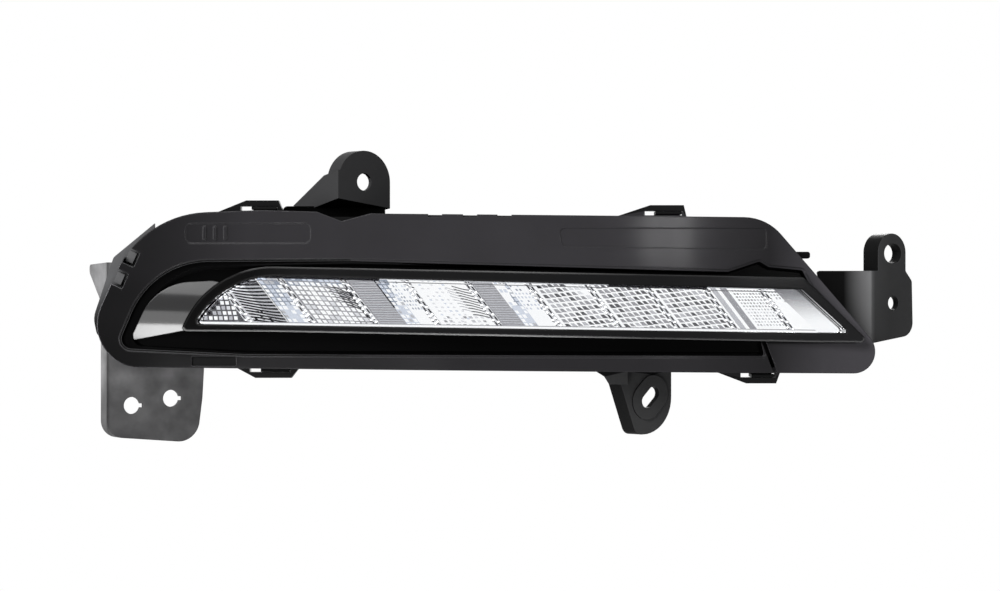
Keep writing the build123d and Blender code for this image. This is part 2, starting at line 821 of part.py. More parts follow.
# Connector pins through the back wall, and the vent cap over its hole
with BuildPart() as connector_pins:
    for pin_u, pin_v in pin_spots:
        pin = turned_box(pin_u, pin_v, pin_width, pin_width, 0)
        slab(pin, tub_inside - 4.0, housing_rear + pin_reach)
write_piece(connector_pins, "connector_pins")

with BuildPart() as vent_cap:
    vent_seat = housing_rear + 1.0
    slab(discs([(vent_u, vent_v)], vent_cap_diameter), vent_seat, vent_seat + vent_cap_height)
    chamfer(vent_cap.edges().sort_by(Axis.Y)[-1], 1.2)
    slab(discs([(vent_u, vent_v)], vent_hole - 2 * snug), tub_inside - 1.0, vent_seat)
write_piece(vent_cap, "vent_cap")

# Light engine: board over the mirror, emitters facing down, finned sink on its back
board_rear = board_front + board_depth
with BuildPart() as led_board:
    board = box_shape(-board_left, board_right, board_level, board_top)
    slab(board, board_front, board_rear)
write_piece(led_board, "led_board")

with BuildPart() as led_emitters:
    for i in range(cell_count - 1):
        led_u = first_rib + cell_pitch * (i + 0.5)
        led_left, led_right = led_u - led_width / 2, led_u + led_width / 2
        led = box_shape(led_left, led_right, board_level - led_height, board_level)
        slab(led, board_front + led_width, board_front + 2 * led_width)
write_piece(led_emitters, "led_emitters")

with BuildPart() as heat_sink:
    slab(box_shape(-board_left, board_right, board_top, board_top + sink_base), board_front, tub_inside)
    slab(box_shape(-board_left, board_right, sink_foot, sink_top), tub_inside - sink_base, tub_inside)
    fin_step = (board_left + board_right - fin_wall) / (fin_count - 1)
    for i in range(fin_count):
        fin_u = -board_left + fin_wall / 2 + fin_step * i
        fin = box_shape(fin_u - fin_wall / 2, fin_u + fin_wall / 2, board_top + sink_base, sink_top)
        slab(fin, board_front, tub_inside)
    slab(discs(sink_screw_spots, small_screw + slip), driver_front, reach, mode=Mode.SUBTRACT)
write_piece(heat_sink, "heat_sink")

with BuildPart() as board_screws:
    sink_grip = housing_wall + sink_base + 3.0
    screw_group(
        sink_screw_spots, housing_rear, small_screw, sink_grip, small_head, small_head_height
    )
write_piece(board_screws, "board_screws")

# Driver: board on the tub's standoffs, its components and its screws
with BuildPart() as driver_board:
    board = box_shape(
        driver_u - driver_width / 2,
        driver_u + driver_width / 2,
        driver_v - driver_height / 2,
        driver_v + driver_height / 2,
        1.0,
    )
    slab(board, driver_front, driver_rear)
    slab(discs(standoff_spots, small_screw + slip), 0, reach, mode=Mode.SUBTRACT)
write_piece(driver_board, "driver_board")

with BuildPart() as driver_components:
    coil = box_shape(driver_u - 24.0, driver_u - 12.0, driver_v - 5.0, driver_v + 7.0, 2.0)
    slab(coil, driver_front - 6.0, driver_front)
    chip = box_shape(driver_u - 4.0, driver_u + 4.0, driver_v - 4.0, driver_v + 4.0)
    slab(chip, driver_front - 1.6, driver_front)
    can_spots = [(driver_u + 13.0, driver_v), (driver_u + 22.0, driver_v)]
    slab(discs(can_spots, 6.3), driver_front - 7.0, driver_front)
write_piece(driver_components, "driver_components")

with BuildPart() as driver_screws:
    slab(discs(standoff_spots, small_head), driver_front - small_head_height, driver_front)
    slab(discs(standoff_spots, small_screw), driver_front, tub_inside - 1.0)
write_piece(driver_screws, "driver_screws")

# Lead wires: socket pins to the driver, driver to the light board
with BuildPart() as lead_wires:
    for i, (pin_u, pin_v) in enumerate(pin_spots):
        lead_depth = driver_front - 2.2 - 2.2 * i
        lead_end = driver_u + driver_width / 2 - 3.0 - 3.5 * i
        lead_path = [
            (pin_u, tub_inside - 4.0),
            (pin_u, lead_depth),
            (lead_end, lead_depth),
            (lead_end, driver_front),
        ]
        with BuildLine(PLAN.offset(pin_v)) as lead:
            Polyline(*lead_path)
        with BuildSketch(Plane(lead.line @ 0, z_dir=lead.line % 0)):
            Circle(lead_diameter / 2)
        sweep(path=lead.line, transition=Transition.RIGHT)
    for lead_u in (driver_u + 26.0, driver_u + 29.0):
        lead_level = driver_v + driver_height / 2 - 2.0
        lead_depth = board_rear - 1.5
        lead_path = [
            (driver_front, lead_level),
            (lead_depth, lead_level),
            (lead_depth, board_level),
        ]
        with BuildLine(SIDE.offset(lead_u)) as lead:
            Polyline(*lead_path)
        with BuildSketch(Plane(lead.line @ 0, z_dir=lead.line % 0)):
            Circle(lead_diameter / 2)
        sweep(path=lead.line, transition=Transition.RIGHT)
write_piece(lead_wires, "lead_wires")

# Top ear: hollow swept head round the bolt hole, side gusset, sloping floor and a foot
sweep_cos = cos(radians(sweep_angle))
sweep_sin = sin(radians(sweep_angle))
ear_u = ear_centre_u - ear_radius * sweep_cos
ear_front = ear_hole_depth - ear_radius * sweep_sin
ear_end_u = ear_centre_u + ear_radius * sweep_cos
ear_end_depth = ear_hole_depth + ear_radius * sweep_sin
ear_plane = swept(ear_u, ear_front)
ear_floor = top_edge + 8.2
ear_floor_wall = 2.5
ear_fall = 0.243
gusset_fall = 0.15
gusset_crest = (10.4, ear_centre_v + 2.7)
foot_rear = carrier_rear + foot_wall
foot_left = -88.5
foot_right = ear_end_u - 2.0
gusset_run = (foot_rear - ear_front) * sweep_sin / sweep_cos


def ear_shape(inset=0.0):
    """Round head on straight sides, its lower edge along the sloping floor."""
    left, right = inset, 2 * ear_radius - inset
    with BuildSketch() as shape:
        with BuildLine():
            RadiusArc((left, ear_centre_v), (right, ear_centre_v), ear_radius - inset)
            Polyline(
                (right, ear_centre_v),
                (right, ear_floor - ear_fall * sweep_sin * right + inset),
                (left, ear_floor - ear_fall * sweep_sin * left + inset),
                (left, ear_centre_v),
            )
        make_face()
    return shape.sketch


sloping_floor = BuildPart()
with sloping_floor:
    floor_fall = ear_fall * (foot_rear - ear_front)
    with BuildSketch(SIDE.offset(-reach)):
        with BuildLine():
            Polyline(
                (ear_front, ear_floor),
                (foot_rear, ear_floor - floor_fall),
                (foot_rear, ear_floor - floor_fall + ear_floor_wall),
                (ear_front, ear_floor + ear_floor_wall),
                close=True,
            )
        make_face()
    extrude(amount=2 * reach)
    with BuildSketch(PLAN):
        with BuildLine():
            Polyline(
                (ear_u, ear_front),
                (ear_end_u, ear_end_depth),
                (foot_right, foot_rear),
                (ear_u - gusset_run, foot_rear),
                close=True,
            )
        make_face()
    extrude(amount=reach, mode=Mode.INTERSECT)

with BuildPart() as top_ear:
    extrude(ear_plane * ear_shape(), amount=-ear_block)
    extrude(ear_plane.offset(-ear_wall) * ear_shape(ear_wall), amount=-ear_block, mode=Mode.SUBTRACT)
    with BuildSketch(cheek(ear_u, ear_front)):
        with BuildLine():
            Polyline(
                (0, ear_floor),
                (ear_gusset, ear_floor - gusset_fall * ear_gusset),
                (ear_gusset, top_edge + 6.0),
                gusset_crest,
                (0, gusset_crest[1] + ear_wall),
                close=True,
            )
        make_face()
    extrude(amount=ear_wall)
    add(sloping_floor.part)
    ear_foot = box_shape(foot_left, foot_right, top_edge - 6.4, top_edge + 5.4, 2.0)
    slab(ear_foot, carrier_rear, foot_rear)
    with BuildSketch(ear_plane):
        with Locations((ear_radius, ear_centre_v)):
            Circle(bolt_hole / 2)
    extrude(amount=reach, both=True, mode=Mode.SUBTRACT)
    slab(discs(ear_screw_spots, screw_diameter + slip), 0, reach, mode=Mode.SUBTRACT)
write_piece(top_ear, "top_ear")

# Left bracket: swept plate with two keyed holes, side lip round its corner, gusset and foot
left_top = 13.5
left_bottom = -57.7
left_width = 41.8
left_fall = 3.1
left_corner = 7.0
left_hole_spots = [(10.6, -45.0), (27.4, -42.3)]
key_length = 2.4
key_width = 1.6
left_plane = swept(left_plate_u, carrier_rear, left_sweep)


def left_face(grow=0.0):
    """Outline of the left plate."""
    corners = [
        (0, left_top),
        (0, left_bottom),
        (left_width - 3.2, left_bottom - left_fall),
        (left_width - 0.8, left_bottom + 15.7),
        (left_width, left_bottom + 29.7),
        (left_width - 7.8, left_bottom + 35.7),
        (left_width / 2, left_top),
    ]
    return outline(corners, [0, left_corner, 9.0, 9.0, 5.0, 8.0, 8.0], grow)


left_side = outline(
    [
        (0, left_top),
        (left_gusset, left_top - 0.7),
        (left_gusset, left_top - 4.0),
        (left_lip, left_top - 16.0),
        (left_lip, left_bottom + left_corner),
        (0, left_bottom + left_corner),
    ],
    [0, 1.6, 2.6, 6.0, 0, 0],
)
corner_box = box_shape(0, left_corner, left_bottom - left_fall, left_bottom + left_corner)
corner_rim = (left_face() - left_face(-thin_wall)) & corner_box
left_foot = box_shape(left_plate_u, -housing_left - housing_flange - 0.6, -20.0, 9.0, 2.0)
with BuildPart() as left_bracket:
    extrude(left_plane * left_face(), amount=-thin_wall)
    extrude(left_plane * corner_rim, amount=-left_lip)
    extrude(cheek(left_plate_u, carrier_rear, left_sweep) * left_side, amount=thin_wall)
    slab(left_foot, carrier_rear, foot_rear)
    with BuildSketch(left_plane):
        with Locations(*left_hole_spots):
            Circle(bolt_hole / 2)
        with Locations(*[(x + bolt_hole / 2, v) for x, v in left_hole_spots]):
            Rectangle(key_length, key_width)
    extrude(amount=reach, both=True, mode=Mode.SUBTRACT)
    slab(discs(left_screw_spots, screw_diameter + slip), 0, reach, mode=Mode.SUBTRACT)
    slab(discs(left_screw_spots, screw_head + 4 * slip), foot_rear, reach, mode=Mode.SUBTRACT)
write_piece(left_bracket, "left_bracket")

# Right bracket: arm plate on two bosses, swept lug with a slot in its deep lobe and a round hole
arm_front = tub_flange_rear
arm_rear = arm_front + bracket_wall
arm_top = 10.1
lug_plane = swept(right_lug_u, arm_front)
lug_bottom = -19.6
lug_width = 23.6
lug_hole_spot = (12.3, -3.1)
lug_slot_spot = (12.0, 17.3)
lug_slot_length = 9.6
lug_slot_width = 7.8
lobe_spot = (11.5, 17.6)
lobe_radius = 7.9
lobe_block = 8.5
lobe_wall = 5.2
lobe_rim = 1.4
arch_foot = 1.5
lug_face = outline(
    [
        (0, lug_bottom),
        (lug_width, lug_bottom + 3.4),
        (lug_width - 0.6, arm_top - 4.1),
        (lobe_spot[0] + lobe_radius, arm_top),
        (lobe_spot[0] + lobe_radius, lobe_spot[1]),
        (lobe_spot[0] - lobe_radius, lobe_spot[1]),
        (lobe_spot[0] - lobe_radius, arm_top),
        (0, arm_top),
    ],
    [0, 6.0, 2.0, 1.5, 0, 0, 0.5, 0],
)


def arch_shape(radius):
    """Round-topped arch of the lobe, standing on the arm's top edge."""
    foot = box_shape(lobe_spot[0] - radius, lobe_spot[0] + radius, arm_top - arch_foot, lobe_spot[1])
    return discs([lobe_spot], 2 * radius) + foot


with BuildSketch() as lug_slot:
    with Locations(lug_slot_spot):
        SlotOverall(lug_slot_length, lug_slot_width)
lobe_front = arch_shape(lobe_radius) - lug_slot.sketch
lug_front = lug_face + arch_shape(lobe_radius) - lug_slot.sketch - discs([lug_hole_spot], small_bolt_hole)
open_side = box_shape(
    lobe_spot[0],
    lobe_spot[0] + 2 * lobe_radius,
    arm_top - 2 * arch_foot,
    lobe_spot[1] + lobe_radius - lobe_rim,
)
lobe_side = arch_shape(lobe_radius) - arch_shape(lobe_radius - lobe_rim) - open_side
arm_left = right_lug_u - 20.0
arm_face = outline(
    [
        (arm_left + 4.5, lug_bottom - 8.4),
        (right_lug_u - 4.4, lug_bottom - 8.4),
        (right_lug_u - 4.4, lug_bottom),
        (right_lug_u, lug_bottom),
        (right_lug_u, arm_top),
        (arm_left - 2.4, arm_top),
        (arm_left, arm_top - 12.0),
        (arm_left + 4.5, arm_top - 24.0),
    ],
    [3.0, 3.0, 2.0, 0, 0, 1.0, 2.0, 2.0],
)
with BuildPart() as right_bracket:
    slab(arm_face, arm_front, arm_rear)
    slab(discs(right_screw_spots, boss_diameter), carrier_rear, arm_front)
    extrude(lug_plane * lug_front, amount=-bracket_wall)
    extrude(lug_plane.offset(-bracket_wall) * lobe_front, amount=bracket_wall - lobe_wall)
    extrude(lug_plane.offset(-lobe_wall) * lobe_side, amount=lobe_wall - lobe_block)
    slab(discs(right_screw_spots, screw_diameter + slip), 0, reach, mode=Mode.SUBTRACT)
write_piece(right_bracket, "right_bracket")

with BuildPart() as bracket_screws:
    foot_grip = foot_wall + carrier_wall + screw_grip
    arm_grip = arm_rear - skirt_rear + screw_grip
    foot_spots = ear_screw_spots + left_screw_spots
    screw_group(foot_spots, foot_rear, screw_diameter, foot_grip, screw_head, screw_head_height)
    screw_group(right_screw_spots, arm_rear, screw_diameter, arm_grip, screw_head, screw_head_height)
write_piece(bracket_screws, "bracket_screws")
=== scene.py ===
"""Looks of a car's daytime running light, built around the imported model."""

import math
import random

import bmesh
import bpy
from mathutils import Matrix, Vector


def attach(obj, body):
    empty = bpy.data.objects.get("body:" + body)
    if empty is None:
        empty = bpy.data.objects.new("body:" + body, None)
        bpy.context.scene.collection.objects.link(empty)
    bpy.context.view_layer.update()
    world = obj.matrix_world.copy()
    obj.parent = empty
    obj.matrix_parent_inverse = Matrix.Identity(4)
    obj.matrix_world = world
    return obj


MM = 0.001

# The lamp's datum stands off the ear's hole, and the photograph looks straight at it
DATUM_X = 0.055
DATUM_Y = -0.016
DATUM_Z = -0.046
CAMERA_DISTANCE = 1.2
FRAME_WIDTH = 0.4
SENSOR_WIDTH = 36.0

# Sizes shared with the part's source, in millimetres
LEFT_END = 162.8
RIGHT_END = 151.0
TOP_EDGE = 31.0
BOTTOM_EDGE = 31.6
FACE_RADIUS = 1200.0
FLOOR_FRONT = 14.5
SURROUND_LEFT_DEPTH = 15.0
SURROUND_MID_DEPTH = 3.0
SURROUND_RIGHT_DEPTH = 3.4
RIB_LEVEL = 4.0
RIB_SLANT = 0.76
BLANK_START = 110.0
BLANK_LEVEL = 2.6
BLANK_SLANT = 1.02
SNUG = 0.2

FACET_SEED = 7

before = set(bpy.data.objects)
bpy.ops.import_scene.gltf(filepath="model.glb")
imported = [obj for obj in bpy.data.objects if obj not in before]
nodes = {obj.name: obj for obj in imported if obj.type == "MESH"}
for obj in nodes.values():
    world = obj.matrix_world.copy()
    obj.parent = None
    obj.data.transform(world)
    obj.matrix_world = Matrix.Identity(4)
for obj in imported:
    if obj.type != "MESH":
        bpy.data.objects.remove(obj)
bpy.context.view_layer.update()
scene = bpy.context.scene
dice = random.Random(FACET_SEED)


def place(u, depth, v):
    """Point of the lamp: u right, depth to the rear, v up, in millimetres from the datum."""
    return Vector((DATUM_X + u * MM, DATUM_Y + depth * MM, DATUM_Z + v * MM))


# Shader groups
NUMBER, VECTOR = "NodeSocketFloat", "NodeSocketVector"
GRAIN_SCALE, GRAIN_DETAIL, GRAIN_HEIGHT = 2500.0, 2.0, 0.2
PATCH_SCALE, PATCH_DETAIL = 40.0, 3.0
PATCH_LOW, PATCH_HIGH = 0.3, 0.7
# Cosines of the normal's turn at which an edge starts to show and shows in full
EDGE_START, EDGE_FULL = 0.995, 0.85


def add_node(tree, kind, **settings):
    """New node with its properties set."""
    node = tree.nodes.new(kind)
    for key, value in settings.items():
        setattr(node, key, value)
    return node


def new_group(name, inputs, outputs):
    """Shader group with its entry and exit; inputs have a name, type and value, outputs are numbers."""
    group = bpy.data.node_groups.new(name, "ShaderNodeTree")
    for label, kind, value in inputs:
        socket = group.interface.new_socket(label, in_out="INPUT", socket_type=kind)
        socket.default_value = value
    for label in outputs:
        group.interface.new_socket(label, in_out="OUTPUT", socket_type=NUMBER)
    return group, add_node(group, "NodeGroupInput"), add_node(group, "NodeGroupOutput")


def make_skin_group():
    """Moulded skin: fine grain as a height, and slow cloudy patches from nought to one."""
    group, entry, leave = new_group(
        "moulded_skin",
        (("Grain Scale", NUMBER, GRAIN_SCALE), ("Patch Scale", NUMBER, PATCH_SCALE)),
        ("Grain", "Patches"),
    )
    where = add_node(group, "ShaderNodeTexCoord")
    for scale, detail, result in (
        ("Grain Scale", GRAIN_DETAIL, "Grain"),
        ("Patch Scale", PATCH_DETAIL, "Patches"),
    ):
        noise = add_node(group, "ShaderNodeTexNoise")
        noise.inputs["Detail"].default_value = detail
        group.links.new(where.outputs["Object"], noise.inputs["Vector"])
        group.links.new(entry.outputs[scale], noise.inputs["Scale"])
        group.links.new(noise.outputs["Fac"], leave.inputs[result])
    return group


def make_edge_highlight_group():
    """Edge mask for painted highlights: one where the rounded normal turns well away from the face's
    own.
    """
    group, entry, leave = new_group("edge_highlight", (("Round Normal", VECTOR, (0.0, 0.0, 1.0)),), ("Edge",))
    face = add_node(group, "ShaderNodeNewGeometry")
    turn = add_node(group, "ShaderNodeVectorMath", operation="DOT_PRODUCT")
    mask = add_node(group, "ShaderNodeMapRange")
    mask.inputs["From Min"].default_value = EDGE_START
    mask.inputs["From Max"].default_value = EDGE_FULL
    group.links.new(entry.outputs["Round Normal"], turn.inputs[0])
    group.links.new(face.outputs["Normal"], turn.inputs[1])
    group.links.new(turn.outputs["Value"], mask.inputs["Value"])
    group.links.new(mask.outputs["Result"], leave.inputs["Edge"])
    return group


def make_along_group():
    """Share of the way from one level to another along an axis of the object."""
    group, entry, leave = new_group(
        "along",
        (("Axis", VECTOR, (1.0, 0.0, 0.0)), ("Start", NUMBER, 0.0), ("End", NUMBER, 1.0)),
        ("Share",),
    )
    where = add_node(group, "ShaderNodeTexCoord")
    level = add_node(group, "ShaderNodeVectorMath", operation="DOT_PRODUCT")
    share = add_node(group, "ShaderNodeMapRange")
    link = group.links.new
    link(where.outputs["Object"], level.inputs[0])
    link(entry.outputs["Axis"], level.inputs[1])
    link(level.outputs["Value"], share.inputs["Value"])
    link(entry.outputs["Start"], share.inputs["From Min"])
    link(entry.outputs["End"], share.inputs["From Max"])
    link(share.outputs["Result"], leave.inputs["Share"])
    return group


SKIN = make_skin_group()
EDGE_HIGHLIGHT = make_edge_highlight_group()
ALONG = make_along_group()


# Material makers
def feed(tree, colour, socket):
    """Link a colour to a socket, or set it there if it is a plain one."""
    if isinstance(colour, tuple):
        socket.default_value = (*colour, 1.0)
    else:
        tree.links.new(colour, socket)


def shade_along(tree, colour, axis, stops):
    """Darken a colour along an axis; a stop is a level, in millimetres from the datum, and a share."""
    first, last = stops[0][0], stops[-1][0]
    share = add_node(tree, "ShaderNodeGroup", node_tree=ALONG)
    share.inputs["Axis"].default_value = axis
    share.inputs["Start"].default_value = axis.dot(place(0, 0, 0)) + first * MM
    share.inputs["End"].default_value = axis.dot(place(0, 0, 0)) + last * MM
    ramp = add_node(tree, "ShaderNodeValToRGB")
    elements = ramp.color_ramp.elements
    while len(elements) < len(stops):
        elements.new(1.0)
    for element, (level, tone) in zip(elements, stops):
        element.position = (level - first) / (last - first)
        element.color = (tone, tone, tone, 1.0)
    product = add_node(tree, "ShaderNodeMix", data_type="RGBA", blend_type="MULTIPLY")
    product.inputs["Factor"].default_value = 1.0
    tree.links.new(share.outputs["Share"], ramp.inputs["Fac"])
    feed(tree, colour, product.inputs["A"])
    tree.links.new(ramp.outputs["Color"], product.inputs["B"])
    return product.outputs["Result"]


def shaded(tree, colour, shades):
    """Colour with all its shades, each an axis and its stops."""
    for axis, stops in shades:
        colour = shade_along(tree, colour, axis, stops)
    return colour


def skinned(
    name,
    colour,
    smooth,
    rough,
    grain=GRAIN_SCALE,
    patch=PATCH_SCALE,
    depth=0.03,
    specular=0.5,
    pale=1.15,
    edge=0.4,
    edge_colour=None,
    shades=(),
    edge_shades=(),
):
    """Moulded material: rounded edges, grain, and roughness and colour that drift in slow patches;
    shades darken the colour along axes of the object and an edge colour is mixed in at its edges, which
    the materials below use to paint shade and highlights.
    """
    material = bpy.data.materials.new(name)
    material.use_nodes = True
    tree = material.node_tree
    shader = tree.nodes["Principled BSDF"]
    skin = add_node(tree, "ShaderNodeGroup", node_tree=SKIN)
    skin.inputs["Grain Scale"].default_value = grain
    skin.inputs["Patch Scale"].default_value = patch
    tone = add_node(tree, "ShaderNodeValToRGB")
    tone.color_ramp.elements[0].position = PATCH_LOW
    tone.color_ramp.elements[0].color = (*colour, 1.0)
    tone.color_ramp.elements[1].position = PATCH_HIGH
    tone.color_ramp.elements[1].color = (*(min(1.0, c * pale) for c in colour), 1.0)
    spread = add_node(tree, "ShaderNodeMapRange")
    spread.inputs["From Min"].default_value = PATCH_LOW
    spread.inputs["From Max"].default_value = PATCH_HIGH
    spread.inputs["To Min"].default_value = smooth
    spread.inputs["To Max"].default_value = rough
    corner = add_node(tree, "ShaderNodeBevel", samples=4)
    corner.inputs["Radius"].default_value = edge * MM
    bump = add_node(tree, "ShaderNodeBump")
    bump.inputs["Strength"].default_value = depth
    bump.inputs["Distance"].default_value = GRAIN_HEIGHT * MM
    link = tree.links.new
    link(skin.outputs["Patches"], tone.inputs["Fac"])
    surface_colour = shaded(tree, tone.outputs["Color"], shades)
    # An edge colour, mixed in where the rounded normal turns, paints highlights on the edges
    if edge_colour:
        highlight_mask = add_node(tree, "ShaderNodeGroup", node_tree=EDGE_HIGHLIGHT)
        edged = add_node(tree, "ShaderNodeMix", data_type="RGBA")
        link(corner.outputs["Normal"], highlight_mask.inputs["Round Normal"])
        link(highlight_mask.outputs["Edge"], edged.inputs["Factor"])
        link(surface_colour, edged.inputs["A"])
        feed(tree, shaded(tree, edge_colour, edge_shades), edged.inputs["B"])
        surface_colour = edged.outputs["Result"]
    link(surface_colour, shader.inputs["Base Color"])
    link(skin.outputs["Patches"], spread.inputs["Value"])
    link(spread.outputs["Result"], shader.inputs["Roughness"])
    link(skin.outputs["Grain"], bump.inputs["Height"])
    link(corner.outputs["Normal"], bump.inputs["Normal"])
    link(bump.outputs["Normal"], shader.inputs["Normal"])
    shader.inputs["Specular IOR Level"].default_value = specular
    return material


def metal(name, colour, smooth, rough, depth=0.0):
    """Metal with a faint grain."""
    material = skinned(name, colour, smooth, rough, grain=3000.0, depth=depth, pale=1.05, edge=0.1)
    material.node_tree.nodes["Principled BSDF"].inputs["Metallic"].default_value = 1.0
    return material


# Axes along which a colour is shaded, to paint light and shade
ACROSS_LAMP = Vector((1.0, 0.0, 0.0))
UP_LAMP = Vector((0.0, 0.0, 1.0))
UP_LEFT = Vector((-0.64, 0.0, 0.77))
DOWN_RIGHT = Vector((0.6, 0.0, -0.8))
DOWN_LEFT = Vector((-0.3, 0.0, -0.95))
ALONG_FOOT = Vector((0.014, 0.0, 1.0))

# Bezel: satin black with painted shade that darkens it towards its left end, its foot and its lower
# left, and painted light at its lower right end; its pale edges are painted highlights, brightest round
# the left end's rim
BEZEL_ACROSS = (
    (-LEFT_END, 0.08),
    (-140.0, 0.12),
    (-120.0, 0.22),
    (-100.0, 0.35),
    (0.0, 0.46),
    (70.0, 0.48),
    (108.0, 0.22),
    (130.0, 0.85),
    (RIGHT_END, 1.0),
)
BEZEL_UP = ((-BOTTOM_EDGE, 0.55), (-22.0, 0.55), (-8.0, 1.0), (TOP_EDGE, 1.0))
BEZEL_DOWN_RIGHT = ((-300.0, 0.6), (55.0, 0.6), (95.0, 1.0))
BEZEL_DOWN_LEFT = ((-300.0, 1.0), (34.0, 1.0), (44.0, 0.62), (200.0, 0.62))
BEZEL_RIM = (
    (-LEFT_END, 0.4),
    (-157.0, 0.5),
    (-151.0, 0.11),
    (70.0, 0.1),
    (105.0, 0.06),
    (RIGHT_END, 0.1),
)
satin_black = skinned(
    "satin_black",
    (0.104, 0.099, 0.1105),
    0.09,
    0.12,
    depth=0.006,
    specular=0.1,
    edge=0.7,
    edge_colour=(0.5, 0.49, 0.52),
    shades=(
        (ACROSS_LAMP, BEZEL_ACROSS),
        (UP_LAMP, BEZEL_UP),
        (DOWN_RIGHT, BEZEL_DOWN_RIGHT),
        (DOWN_LEFT, BEZEL_DOWN_LEFT),
    ),
    edge_shades=((ACROSS_LAMP, BEZEL_RIM),),
)
# Near-black on the bezel's clips behind its face and on its pocket's floor: painted shade
clip_black = skinned("clip_black", (0.006, 0.006, 0.0063), 0.2, 0.26, depth=0.02, specular=0.05)
# Near-black on the step round the opening's left end: painted shade, with painted highlights on its
# edges
lip_black = skinned(
    "lip_black",
    (0.004, 0.004, 0.0042),
    0.1,
    0.14,
    depth=0.004,
    specular=0.06,
    edge=0.5,
    edge_colour=(0.09, 0.09, 0.093),
)

# Recess and lens surround: blacks of several glosses; the surround is painted darker towards its left
# end as shade, and its edges carry painted highlights on its top edge and, brightest, along its foot
deep_black = skinned("deep_black", (0.0012, 0.0012, 0.0013), 0.12, 0.16, depth=0.004, specular=0.02)
SURROUND_ACROSS = ((-LEFT_END, 0.08), (-100.0, 0.1), (-82.0, 0.55), (60.0, 0.6), (RIGHT_END, 1.0))
SURROUND_RIM = (
    (-18.0, 1.0),
    (-15.4, 1.0),
    (-14.4, 0.05),
    (7.5, 0.05),
    (9.0, 0.3),
    (TOP_EDGE, 0.3),
)
FOOT_GLINT = (
    (-LEFT_END, 0.5),
    (-100.0, 0.6),
    (-40.0, 0.7),
    (5.0, 1.0),
    (60.0, 0.2),
    (RIGHT_END, 0.25),
)
surround_black = skinned(
    "surround_black",
    (0.012, 0.012, 0.0127),
    0.1,
    0.13,
    depth=0.004,
    specular=0.06,
    edge=1.3,
    edge_colour=(1.0, 1.0, 1.0),
    shades=((ACROSS_LAMP, SURROUND_ACROSS),),
    edge_shades=((ALONG_FOOT, SURROUND_RIM), (ACROSS_LAMP, FOOT_GLINT)),
)
# The recess's downward walls: matt black with painted shade towards the left end
WALL_ACROSS = ((-LEFT_END, 0.25), (-110.0, 0.3), (-60.0, 1.0), (RIGHT_END, 1.0))
wall_black = skinned(
    "wall_black",
    (0.03, 0.03, 0.031),
    0.5,
    0.6,
    depth=0.004,
    specular=0.0,
    shades=((ACROSS_LAMP, WALL_ACROSS),),
)
gloss_black = skinned("gloss_black", (0.003, 0.003, 0.0033), 0.1, 0.13, depth=0.002)

# Carrier, brackets and housing: grained blacks and greys
# Carrier: near-black, with painted light on its rim at the upper left corner
CARRIER_UP_LEFT = ((-300.0, 0.08), (97.0, 0.08), (106.0, 1.0), (130.0, 1.0))
carrier_black = skinned(
    "carrier_black",
    (0.1, 0.1, 0.103),
    0.42,
    0.52,
    depth=0.05,
    specular=0.03,
    shades=((UP_LEFT, CARRIER_UP_LEFT),),
)
# A lighter copy of the carrier's black for its lower tab: painted light; the tab's left cheek keeps the
# carrier's near-black as painted shade
tab_black = skinned("tab_black", (0.058, 0.058, 0.059), 0.42, 0.52, depth=0.06, specular=0.05)
bracket_black = skinned("bracket_black", (0.033, 0.033, 0.034), 0.42, 0.52, depth=0.08, specular=0.04)
shade_black = skinned("shade_black", (0.002, 0.002, 0.002), 0.6, 0.7, specular=0.0)
# Right bracket: a painted shadow where the arm leaves the carrier, and a painted highlight along its
# bend into the lug
ARM_ACROSS = (
    (136.0, 0.01),
    (140.5, 0.012),
    (145.0, 0.48),
    (148.0, 0.75),
    (151.5, 1.0),
    (153.5, 0.38),
    (160.0, 0.28),
)
arm_black = skinned(
    "arm_black",
    (0.2, 0.2, 0.203),
    0.36,
    0.46,
    depth=0.06,
    specular=0.04,
    edge=1.0,
    shades=((ACROSS_LAMP, ARM_ACROSS),),
)
# Near-black on the right bracket's left cheek and underside: painted shade
cheek_black = skinned("cheek_black", (0.006, 0.006, 0.006), 0.42, 0.52, depth=0.06, specular=0.03)
# Left bracket: grey with cloudy patches, lighter towards the top, with a painted shadow along the bend
# between its lip and plate
PLATE_UP = ((-58.0, 0.42), (-45.0, 0.45), (-37.0, 0.75), (-33.0, 1.0))
PLATE_ACROSS = (
    (-175.0, 1.0),
    (-161.0, 1.0),
    (-160.1, 0.3),
    (-159.0, 0.75),
    (-140.0, 1.0),
    (-100.0, 1.0),
)
bracket_grey = skinned(
    "bracket_grey",
    (0.125, 0.124, 0.126),
    0.4,
    0.6,
    patch=90.0,
    depth=0.06,
    pale=2.2,
    specular=0.1,
    edge=0.6,
    shades=((UP_LAMP, PLATE_UP), (ACROSS_LAMP, PLATE_ACROSS)),
)
# A lighter copy of the carrier's black on the catches at the left end: painted light
catch_grey = skinned("catch_grey", (0.1, 0.1, 0.102), 0.42, 0.52, depth=0.05, specular=0.05)
housing_black = skinned("housing_black", (0.03, 0.03, 0.031), 0.45, 0.55, depth=0.05, specular=0.2)

